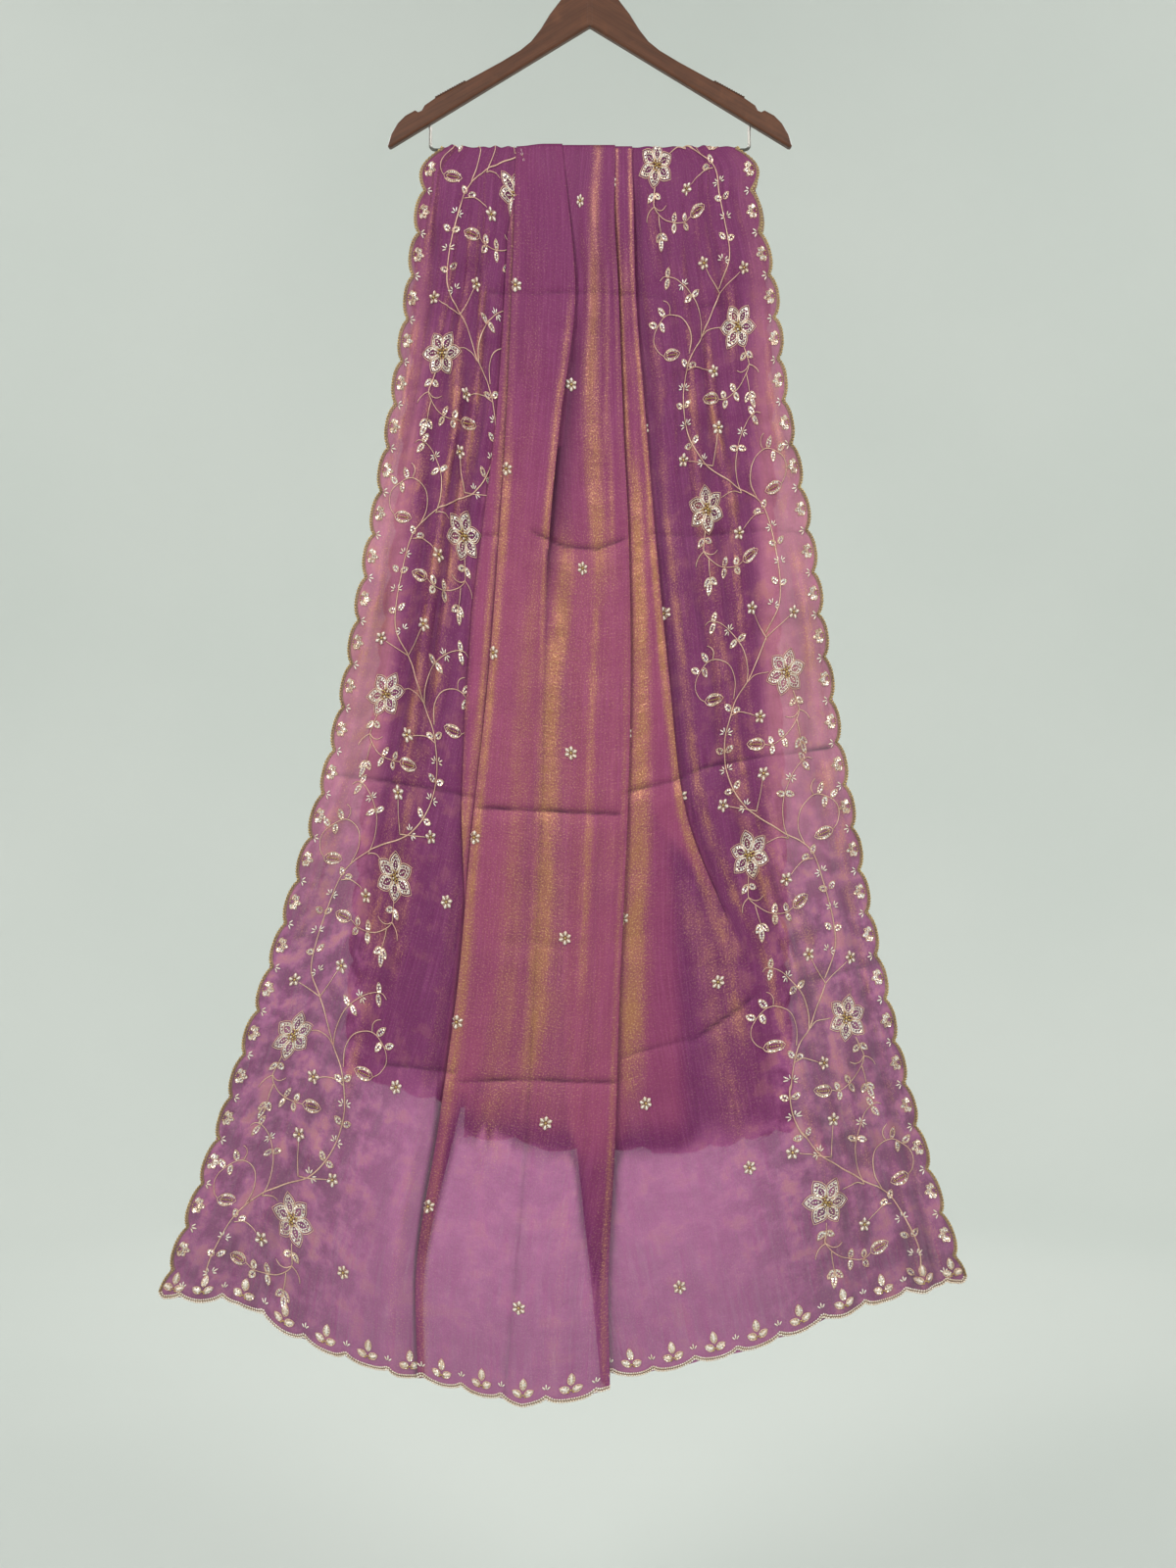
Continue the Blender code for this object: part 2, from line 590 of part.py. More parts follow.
def build_grip(name, side, rubber):
    """The toothed strip along the shoulder, standing just off the wood."""
    (x0, down0), (x1, down1) = GRIP_FROM, GRIP_TO
    start = np.array((x0 * MM, WOOD_TOP - down0 * MM))
    end = np.array((x1 * MM, WOOD_TOP - down1 * MM))
    along = end - start
    out = np.array((-along[1], along[0])) / np.linalg.norm(along)
    low, base, high = SEAT_GAP * 2, SEAT_GAP * 2 + 0.0006, SEAT_GAP * 2 + GRIP_HIGH
    outline = [start + out * low, end + out * low]
    for tooth in range(GRIP_TEETH, 0, -1):
        outline.append(start + along * tooth / GRIP_TEETH + out * base)
        outline.append(start + along * (tooth - 0.35) / GRIP_TEETH + out * high)
    outline.append(start + out * base)
    mesh = bpy.data.meshes.new(name)
    strip = bmesh.new()
    corners = [(side * x, -GRIP_WIDE / 2, z) for x, z in outline]
    base_face = strip.faces.new([strip.verts.new(corner) for corner in corners])
    swept = bmesh.ops.extrude_face_region(strip, geom=[base_face])
    moved = [item for item in swept["geom"] if isinstance(item, bmesh.types.BMVert)]
    bmesh.ops.translate(strip, verts=moved, vec=(0, GRIP_WIDE, 0))
    bmesh.ops.recalc_face_normals(strip, faces=strip.faces)
    strip.to_mesh(mesh)
    strip.free()
    return add_object(name, mesh, rubber)


def build_wire(name, points, diameter, sides, material):
    """A bent wire along a list of points."""
    curve = bpy.data.curves.new(name, "CURVE")
    curve.dimensions = "3D"
    curve.bevel_depth = diameter / 2
    curve.bevel_resolution = sides
    curve.use_fill_caps = True
    line = curve.splines.new("POLY")
    line.points.add(len(points) - 1)
    for point, place in zip(line.points, points):
        point.co = (*place, 1.0)
    line.use_smooth = True
    return add_object(name, curve, material)


def arc(centre, radius, start, end, steps):
    """Points on an arc in the XZ plane; angles in degrees from +X."""
    return [
        (centre[0] + radius * math.cos(math.radians(a)), 0.0, centre[1] + radius * math.sin(math.radians(a)))
        for a in np.linspace(start, end, steps)
    ]


def build_hook(steel):
    """The hanger's hook: a shank out of the wood that swings aside and closes round the rail."""
    radius = HOOK_INSIDE / 2 + HOOK_WIRE / 2
    centre = (0.0, -HOOK_INSIDE / 2)
    shank = [(0.0, 0.0, WOOD_TOP + SEAT_GAP), (0.0, 0.0, WOOD_TOP + SHANK_HIGH)]
    neck = [(x, 0.0, WOOD_TOP + high) for x, high in SHANK_NECK]
    loop = arc(centre, radius, *HOOK_ARC, 26)
    return build_wire("hook", shank + neck + loop, HOOK_WIRE, 2, steel)


def build_bar(steel):
    """The thin bar under the arms: a rod with both ends bent up into the wood."""
    share = BAR_LEG_X / (ARM_TIP[-1][0] * MM)
    wood_under = WOOD_TOP - (ARM_UNDER[1] + (ARM_TIP[-1][1] - ARM_UNDER[1]) * share) * MM
    leg_top = wood_under - BAR_WIRE / 2 - SEAT_GAP
    right = arc((BAR_LEG_X - BAR_BEND, BAR_Z + BAR_BEND), BAR_BEND, -90, 0, 5)
    left = [(-x, y, z) for x, y, z in reversed(right)]
    points = [(-BAR_LEG_X, 0, leg_top), *left, *right, (BAR_LEG_X, 0, leg_top)]
    return build_wire("bar", points, BAR_WIRE, 2, steel)


def main():
    clear_scene()
    cloth = make_material("tissue_cloth", (0.36, 0.13, 0.34), 0.45, 0.15)
    trim = make_material("gold_edging", (0.62, 0.48, 0.36), 0.4, 0.4)
    wood = make_material("stained_wood", (0.20, 0.085, 0.045), 0.4, 0.0)
    rubber = make_material("grip_rubber", (0.12, 0.06, 0.04), 0.7, 0.0)
    steel = make_material("bright_steel", (0.75, 0.75, 0.76), 0.2, 1.0)
    build_cloth(cloth, trim)
    for name, side in (("left", -1), ("right", 1)):
        build_arm(f"arm_{name}", side, wood)
        build_grip(f"grip_{name}", side, rubber)
    build_hook(steel)
    build_bar(steel)


main()
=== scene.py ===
"""Looks of a sheer embroidered stole folded over the bar of a wooden coat hanger.

Metres, +Z up, the front fall faces -Y, and the origin is where a rail touches the inside of the hook.
The cloth is one length from the front hem over the bar to the back hem. A place in the flat cloth is
given as how far it lies across from the left edge and how far up from the front hem, and the stitching
is laid out in those flat places and then carried onto the hanging cloth.
"""

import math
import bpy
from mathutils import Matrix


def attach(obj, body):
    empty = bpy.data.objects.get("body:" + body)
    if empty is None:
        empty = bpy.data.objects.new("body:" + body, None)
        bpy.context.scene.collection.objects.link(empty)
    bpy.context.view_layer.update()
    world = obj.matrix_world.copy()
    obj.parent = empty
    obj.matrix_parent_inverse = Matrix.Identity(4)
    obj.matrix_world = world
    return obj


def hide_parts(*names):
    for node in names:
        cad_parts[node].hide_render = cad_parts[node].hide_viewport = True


bl_info = {
    "name": "Embroidered stole on a hanger",
    "version": (1, 0, 0),
    "blender": (4, 2, 0),
    "location": "3D View > Sidebar > Stole",
    "description": "Builds the hanging cloth, its edging and stitching, the hanger's finishes and the stage",
    "category": "Object",
}

from types import SimpleNamespace

import bpy
import numpy as np

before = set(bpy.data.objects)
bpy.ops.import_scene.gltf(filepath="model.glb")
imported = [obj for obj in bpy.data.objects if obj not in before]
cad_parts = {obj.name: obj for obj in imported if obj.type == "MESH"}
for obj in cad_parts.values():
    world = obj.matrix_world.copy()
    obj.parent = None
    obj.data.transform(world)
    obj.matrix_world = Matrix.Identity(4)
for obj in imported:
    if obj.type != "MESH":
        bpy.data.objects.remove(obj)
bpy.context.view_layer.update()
MM = 0.001

# Hanger and cloth sizes that the solids share
BAR_WIRE = 0.0035
BAR_Z = -0.2450
WALL = 0.001
SEAM = 0.0003
TURN_RADIUS = BAR_WIRE / 2 + SEAM + WALL / 2
HANGER_THICK = 0.012
EDGE_ROUND = 0.0025
MITRE_GAP = 0.0003
MITRE_TOP = -0.0606
MITRE_FOOT = -0.1094
MITRE_SUNK = 0.0001
CLOTH_WIDTH = 0.970
TOP_LAYER = 0.0007
LAYER = 0.002
SCALLOP_DEEP = 0.009
SCALLOP_NECK = 0.0008
WIDTH_MM = CLOTH_WIDTH / MM
SCALLOP_MM = SCALLOP_DEEP / MM
EDGE_STEPS = 3
OUTLINE_STEP = 1.5
LAYER_BLUR = 0.007
BACK_LAYERS = 1.6
SIDE_SCALLOPS_FRONT = 26.5
SIDE_SCALLOPS_BACK = 21.5
HEM_SCALLOPS = 20

# Folds of the falls. Each row is a level from the bar (0) to the hem (1). Columns, in millimetres:
# left edge, then the four pleat edges, then the right edge, measured from the middle of the hanger.
FOLD_COLUMNS = ("left", "panel_left", "dart", "panel_right", "ridge", "right")
FRONT_FOLDS = (
    (0.00, (-170.5, -81, -30.3, 28.1, 47.2, 170.5)),
    (0.012, (-184, -82.5, -28.5, 28.1, 47.2, 184)),
    (0.04, (-190.9, -82.9, -24.4, 27.1, 48.3, 187)),
    (0.12, (-204.5, -86.2, -15.7, 32, 50.8, 207.9)),
    (0.22, (-220.8, -92.1, -32, 36.9, 61.3, 219.8)),
    (0.32, (-242.5, -100.3, -45, 43.2, 72.2, 243.7)),
    (0.44, (-267.5, -112.7, -49.4, 45, 87.4, 264.3)),
    (0.56, (-298.9, -130.1, -53.7, 40.7, 106.9, 287.1)),
    (0.68, (-343.4, -144.8, -61.3, 33.1, 160, 314.2)),
    (0.80, (-390.1, -167, -70, 28, 186, 344.6)),
    (0.92, (-440.1, -191.4, -83, 20.4, 213, 384.8)),
    (1.00, (-474.8, -190, -93.9, 22.2, 222, 415.2)),
)
BACK_FOLDS = (
    (0.00, (-170.5, -81, -30.3, 28.1, 47.2, 170.5)),
    (0.015, (-182, -82.5, -28.5, 28.1, 47.2, 182)),
    (0.05, (-189, -86, -26, 28.5, 50, 190)),
    (0.20, (-200, -93, -25, 33, 57, 203)),
    (0.40, (-219, -106, -31, 40, 68, 210)),
    (0.60, (-243, -121, -40, 43, 84, 217)),
    (0.80, (-264, -131, -47, 42, 98, 222)),
    (1.00, (-276, -140, -52, 44, 110, 229)),
)

# How far each pleat runs back under its visible edge, in millimetres; below 0 the pleat has opened.
LAP_COLUMNS = ("panel_left", "dart", "panel_right", "ridge")
FRONT_LAPS = (
    (0.00, (13, 5, 9, 9)),
    (0.04, (46, 17, 32, 33)),
    (0.12, (62, 24, 47, 45)),
    (0.22, (65, 21, 58, 50)),
    (0.32, (65, 2, 62, 52)),
    (0.44, (60, -22, 65, 42)),
    (0.56, (49, -27, 63, 26)),
    (0.68, (37, -27, 56, -9)),
    (0.80, (20, -27, 44, -27)),
    (0.92, (9, -27, 20, -38)),
    (1.00, (7, -27, 11, -38)),
)
BACK_LAPS = (
    (0.00, (13, 5, 9, 9)),
    (0.05, (46, 17, 32, 33)),
    (0.20, (62, 24, 50, 46)),
    (0.40, (66, 26, 60, 50)),
    (0.60, (66, 24, 62, 50)),
    (0.80, (64, 20, 60, 46)),
    (1.00, (62, 16, 56, 42)),
)

# Where those folds lie in the flat cloth, in millimetres from its left edge.
CLOTH_COLUMNS = ("under_left", "panel_left", "dart", "panel_right", "pleat", "ridge", "under_right")
FRONT_CLOTH = (
    (0.00, (126, 311, 374, 496, 657, 679, 803)),
    (0.04, (130, 311, 374, 496, 657, 680, 798)),
    (0.12, (148, 311, 381, 496, 659, 681, 779)),
    (0.22, (163, 311, 374, 496, 660, 687, 767)),
    (0.32, (179, 311, 379, 496, 660, 693, 762)),
    (0.44, (192, 311, 397, 496, 659, 705, 760)),
    (0.56, (214, 311, 398, 497, 652, 724, 766)),
    (0.68, (241, 311, 399, 499, 649, 778, 800)),
    (0.80, (269, 311, 411, 502, 613, 786, 817)),
    (0.92, (295, 311, 423, 514, 575, 778, 820)),
    (1.00, (301, 311, 416, 523, 556, 766, 808)),
)
BACK_CLOTH = (
    (0.00, (126, 311, 374, 496, 635, 657, 803)),
    (0.05, (130, 311, 374, 496, 635, 658, 800)),
    (0.20, (136, 311, 380, 496, 636, 662, 795)),
    (0.40, (140, 311, 384, 496, 638, 668, 800)),
    (0.60, (146, 311, 388, 496, 640, 684, 812)),
    (0.80, (156, 311, 390, 496, 640, 700, 822)),
    (1.00, (160, 311, 394, 496, 640, 710, 826)),
)

# Drop of each hem below the bar, in millimetres, against the place across the flat cloth.
FRONT_DROP = (
    (0, 1258), (26, 1264), (93, 1266), (126, 1285), (160, 1303), (206, 1322),
    (277, 1347), (311, 1351), (434, 1376), (510, 1365), (543, 1346),
    (608, 1345), (705, 1320), (803, 1285), (901, 1257), (970, 1241),
)
BACK_DROP = (
    (0, 1018), (150, 1052), (311, 1090), (434, 1102), (800, 1104),
    (900, 1094), (970, 1080),
)

# Gathers and waves, heights in metres. A border's gathers grow from the bar to the hem.
BORDER_GATHERS = 5
BORDER_GATHER_LEVELS = (0.0, 0.25, 1.0)
BORDER_GATHER_HIGH = (0.0028, 0.0062, 0.0072)
GATHER_DRIFT = 0.6
GATHER_UNEVEN = 0.035
GATHER_UNEVEN_WAVES = 1.3
GATHER_HEIGHT_SPREAD = 0.25
GATHER_HEIGHT_WAVES = 1.7
RIGHT_BORDER_LEAN = 0.3
PANEL_SWELL = 0.0035
PLEAT_SWELL = 0.0030
SWELL_FROM_LEVEL = 0.08
SWAY_HIGH = 0.0085
SWAY_WAVES = 3.4
SWAY_SIDE_SHIFT = 0.22
SWAY_DRIFT = 0.35
FLUTTER_HIGH = 0.0050
FLUTTER_WAVES = 5.5
FLUTTER_REACH = 0.09
TURN_OPEN = 0.003
SHUT_RANGE = 0.006
PLAIN_STRIP = 0.006
LAYER_LEVEL = 0.10
RISE_SPEED = 1.6

# Steps along the section, piece by piece, finer than the solids have
STEPS_BORDER = 52
STEPS_HIDDEN = 3
STEPS_DEEP = 4
STEPS_TURN = 5
STEPS_PANEL = 14
STEPS_PLEAT = 12
FRONT_ROWS = 300
TURN_ROWS = 6
BACK_ROWS = 118
CREASE_ROWS_CLOSER = 2.3
TURN_SHARE = 0.01

# Packing creases: millimetres across from the hanger's middle and down from the bar, and a depth.
FRONT_CREASES = (
    (((-112, 158), (-60, 163), (0, 160), (88, 166)), 0.5),
    (((92, 178), (150, 172)), 0.5),
    (((-66, 424), (-28, 440), (8, 444), (40, 432)), 1.0),
    (((66, 426), (120, 428), (190, 422), (250, 426)), 0.7),
    (((-130, 430), (-100, 428)), 0.5),
    (((-300, 690), (-235, 697), (-170, 708), (-122, 718)), 0.8),
    (((-124, 728), (-60, 731), (0, 734), (34, 735)), 1.1),
    (((40, 711), (91, 699), (125, 684), (190, 672), (268, 662)), 1.0),
    (((-110, 872), (-20, 880), (60, 868)), 0.35),
    (((-228, 1010), (-190, 1014), (-146, 1020)), 0.8),
    (((-146, 1030), (-60, 1027), (30, 1029)), 1.0),
    (((38, 1002), (72, 992), (108, 984)), 0.8),
    (((108, 903), (175, 900)), 0.4),
    (((112, 986), (146, 962), (180, 936)), 1.3),
    (((190, 927), (258, 915), (325, 897)), 0.6),
    (((-330, 1075), (-280, 1092), (-236, 1086)), 0.45),
    (((205, 1080), (262, 1098), (310, 1090)), 0.45),
    (((240, 1000), (285, 1036), (330, 1048)), 0.4),
)
BACK_CREASES = (
    (((-150, 168), (-40, 160), (90, 166), (160, 160)), 0.8),
    (((-200, 432), (-90, 438), (20, 428), (190, 434)), 0.9),
    (((-230, 706), (-60, 712), (60, 700), (205, 694)), 0.9),
    (((-240, 962), (-120, 970), (20, 960), (200, 954)), 0.8),
)
CREASE_END_FADE = 14.0
CREASE_ABOVE = 3.6
CREASE_BELOW = 10.0
CREASE_SWELL_FROM = 22.0
LEDGE_RISE = 0.5
CREASE_EVEN = 0.8
CREASE_UNEVEN = 0.35
CREASE_UNEVEN_SIZE = 0.03
CREASE_SEED = 21
# Painted shade of each crease line: how fast it falls off above the line, in millimetres, and the share that
# reaches on above it.
CREASE_LINE = 2.5
CREASE_SHADE_TAIL = 0.25
FRONT_CREASE_LEVELS = ((0.112, 0.142), (0.306, 0.342), (0.515, 0.552), (0.72, 0.79))
BACK_CREASE_LEVELS = ((0.145, 0.165), (0.385, 0.41), (0.63, 0.665), (0.865, 0.895))

# Fold edges stand a little off what they lie on, and small gathers crowd the borders near the bar.
EDGE_LIFT = 0.0024
EDGE_LIFT_REACH = 0.013
RIDGE_LIFT_OPEN = 0.35
SMALL_GATHERS = 11
SMALL_GATHER_HIGH = 0.0018
SMALL_GATHERS_GROWN = 0.05
SMALL_GATHERS_FADE = (0.15, 0.55)
SMALL_GATHERS_SLIP = 0.35
SMALL_GATHERS_PATCHY = 0.8

# Gathers wander sideways and swell and fade as they go down, by this much and over these lengths.
GATHER_WANDER = 0.045
GATHER_FADE = 0.55
GATHER_CALM = 0.12

# Noises of the gathers: how fast each runs across and shifts with the lean, how fast down, and a seed.
GATHER_NOISES = {"wander": (2.5, 9, 1.0, 11), "fade": (6.0, 7, 0.9, 12), "patches": (9.0, 0, 2.0, 13)}
GATHER_NOISE_DOWN = 10.0

# Crumples: share, size and slant of each layer of noise, and a seed; then the streaks along the length.
CRUMPLES = ((0.6, 0.036, 0.0, 3), (0.4, 0.017, 0.3, 5))
STREAK_SIZE = 0.011
STREAK_STRETCH = 0.12
STREAK_SHARE = 0.4
STREAK_SEED = 8
BORDER_CRUMPLE = 0.9
CORNER_CRUMPLE = 1.1
BORDER_CRUMPLE_WIDE = 0.20

# A second fold shows as a strip beside the panel's left edge: a level and its width in millimetres.
STRIP_LEVELS = (0.0, 0.03, 0.07, 0.16, 0.22, 0.30, 0.38, 0.46, 0.54, 0.62, 1.0)
STRIP_WIDE = (0.0, 0.0, 7.0, 9.0, 11.0, 18.0, 24.0, 22.0, 14.0, 0.0, 0.0)
STRIP_LAP = 0.006
STRIP_LIFT = 0.0012
STRIP_FULL = 0.008
STEPS_STRIP = 5

# Painted shade beside folds and along crease lines: how far it reaches, and how dark it is.
SHADE_REACH = 0.0045
SHADE_DARK = 0.62
CREASE_SHADE_ABOVE = 8.0
CREASE_SHADE_BELOW = 1.8
CREASE_DARK = 0.85
HEM_THINNER = 0.62
HEM_THINS_FROM = 0.84

# Where the back fall shows through the front, counted as layers that the tissue paints darker: how softly its
# hem and sides end, how far they are moved in as a share of that, and how much darker its panel is.
COVER_HEM = (0.070, 0.4)
COVER_LEFT = (0.030, 0.2)
COVER_RIGHT = (0.030, 0.1)
COVER_PANEL = (0.030, 0.5)
COVER_PANEL_MORE = 1.5

# Hollows between the waves get painted shade: how far around a point is looked at, and how deep is dark.
HOLLOW_REACH = 0.015
HOLLOW_DEEP = 0.0030
HOLLOW_DARK = 0.50


def smooth_step(value):
    value = np.clip(value, 0.0, 1.0)
    return value * value * (3 - 2 * value)


def turns(count):
    return 2 * math.pi * count


def row_at(table, level):
    """The table's row at any level, on smooth curves through its rows."""
    levels = np.array([row[0] for row in table])
    values = np.array([row[1] for row in table], dtype=float)
    slopes = np.gradient(values, levels, axis=0)
    upper = int(np.clip(np.searchsorted(levels, level), 1, len(levels) - 1))
    lower = upper - 1
    span = levels[upper] - levels[lower]
    share = (level - levels[lower]) / span
    square, cube = share**2, share**3
    return (
        (2 * cube - 3 * square + 1) * values[lower]
        + (cube - 2 * square + share) * span * slopes[lower]
        + (3 * square - 2 * cube) * values[upper]
        + (cube - square) * span * slopes[upper]
    )


def columns_at(names, table, level):
    """A table's row at a level, in metres, by the names of its columns."""
    return SimpleNamespace(**dict(zip(names, row_at(table, level) * MM)))


def soft_noise(across, up, size, seed):
    """Smooth hills and hollows about as wide as size, between -1 and 1, the same at each run."""
    table = np.random.default_rng(seed).uniform(-1, 1, (64, 64))
    a, b = np.asarray(across) / size, np.asarray(up) / size
    column, row = np.floor(a).astype(int), np.floor(b).astype(int)
    share_a, share_b = smooth_step(a - column), smooth_step(b - row)

    def corner(i, j):
        return table[(row + j) % 64, (column + i) % 64]

    low = corner(0, 0) * (1 - share_a) + corner(1, 0) * share_a
    high = corner(0, 1) * (1 - share_a) + corner(1, 1) * share_a
    return low * (1 - share_b) + high * share_b


class Fall:
    """One side of the hung cloth: which way it faces and the tables that shape it."""

    def __init__(self, facing, folds, laps, cloth, drops, creases, scallops):
        self.facing = facing
        self.folds = folds
        self.laps = laps
        self.cloth = cloth
        self.drops = drops
        self.creases = creases
        self.scallops = scallops

    def drop(self, across):
        """How far below the bar the hem lies, for a place across the flat cloth."""
        return np.interp(np.asarray(across) / MM, *zip(*self.drops)) * MM


FRONT = Fall(1, FRONT_FOLDS, FRONT_LAPS, FRONT_CLOTH, FRONT_DROP, FRONT_CREASES, SIDE_SCALLOPS_FRONT)
BACK = Fall(-1, BACK_FOLDS, BACK_LAPS, BACK_CLOTH, BACK_DROP, BACK_CREASES, SIDE_SCALLOPS_BACK)


class Section:
    """The folded cross-section at one level, from left to right: places (x, depth) and flat places.

    Its end holds where the next piece starts: x, layer, place across the flat cloth, and lift.
    """

    def __init__(self, layer, x, across):
        self.layer = layer
        self.x, self.depth, self.across = [x], [0.0], [across]
        self.end = (x, 0, across, 0.0)

    def add(self, x, depth, across):
        self.x.append(x)
        self.depth.append(depth)
        self.across.append(across)

    def stretch(self, x, layer, across, steps, swell=None, lift=0.0):
        """Cloth from the last piece's end to x, its depth going over to a layer."""
        start, from_layer, from_across, from_lift = self.end
        length = abs(x - start)
        for step in range(1, steps + 1):
            share = step / steps
            rise = from_layer + (layer - from_layer) * float(smooth_step(share * RISE_SPEED))
            depth = rise * self.layer + (swell(share) if swell else 0.0)
            depth += from_lift * math.exp(-length * share / EDGE_LIFT_REACH)
            depth += lift * math.exp(-length * (1 - share) / EDGE_LIFT_REACH)
            self.add(start + (x - start) * share, depth, from_across + (across - from_across) * share)
        self.end = (x, layer, across, lift)

    def fold(self, edge, bulge, layers, across, steps, swell=None, lift=0.0, opened=0.0):
        """Cloth up to a fold's edge and a half turn round it to the next layer; flat once it has opened."""
        self.stretch(edge - bulge, layers[0], across, steps, swell, lift)
        for step in range(1, STEPS_TURN):
            angle = math.pi * step / STEPS_TURN
            share = (1 - math.cos(angle)) / 2
            depth = (layers[0] + (layers[1] - layers[0]) * share) * self.layer + lift
            ahead = opened * step / STEPS_TURN
            self.add(edge - bulge * (1 - math.sin(angle)) + ahead, depth, across + ahead)
        self.end = (edge - bulge + opened, layers[1], across + opened, lift)


def bumps(high, count):
    """Even swells across a stretch, flat at both its ends."""
    return lambda share: high * (0.5 - 0.5 * math.cos(turns(count * share)))


def gathers(high, lean, small, level, calm_from=None):
    """Soft upright gathers of uneven width and height that wander and fade as they go down the border."""
    share = np.arange(1, STEPS_BORDER + 1) / STEPS_BORDER

    def noise(name):
        rate, shift, down, seed = GATHER_NOISES[name]
        along = level * GATHER_NOISE_DOWN * down + 0 * share
        return soft_noise(share * rate + shift * lean, along, 1.0, seed)

    uneven = GATHER_UNEVEN * np.sin(turns(GATHER_UNEVEN_WAVES * share + lean))
    place = share + (uneven + GATHER_WANDER * noise("wander")) * np.sin(math.pi * share)
    size = 1 - GATHER_HEIGHT_SPREAD * (1 - np.sin(turns(GATHER_HEIGHT_WAVES * share + lean)))
    size = size * (1 + GATHER_FADE * noise("fade"))
    slip = SMALL_GATHERS_SLIP * np.sin(turns(GATHER_HEIGHT_WAVES * share + level * 3))
    crowd = 0.5 - 0.5 * np.cos(turns(SMALL_GATHERS * place + slip))
    patches = 1 + SMALL_GATHERS_PATCHY * noise("patches")
    swell = size * high * (0.5 - 0.5 * np.cos(turns(BORDER_GATHERS * place))) + small * crowd * patches
    if calm_from is not None:
        swell = swell * smooth_step((calm_from - share) / GATHER_CALM)
    return lambda at: float(swell[int(round(at * STEPS_BORDER)) - 1])


def sway(fall, level, share):
    """Broad waves that every layer follows together, growing towards the hem, and the edges' flutter."""
    share = np.clip(share, -0.1, 1.1)
    grow = SWAY_HIGH * smooth_step((level - 0.05) / 0.9)
    broad = 1 + np.sin(turns(SWAY_WAVES * share + SWAY_SIDE_SHIFT * fall.facing + SWAY_DRIFT * level))
    flutter = FLUTTER_HIGH * smooth_step((level - 0.03) / 0.15)
    along = 1 + math.sin(turns(FLUTTER_WAVES * level))
    near_edge = np.exp(-((share / FLUTTER_REACH) ** 2)) + np.exp(-(((1 - share) / FLUTTER_REACH) ** 2))
    return grow * broad + flutter * along * near_edge


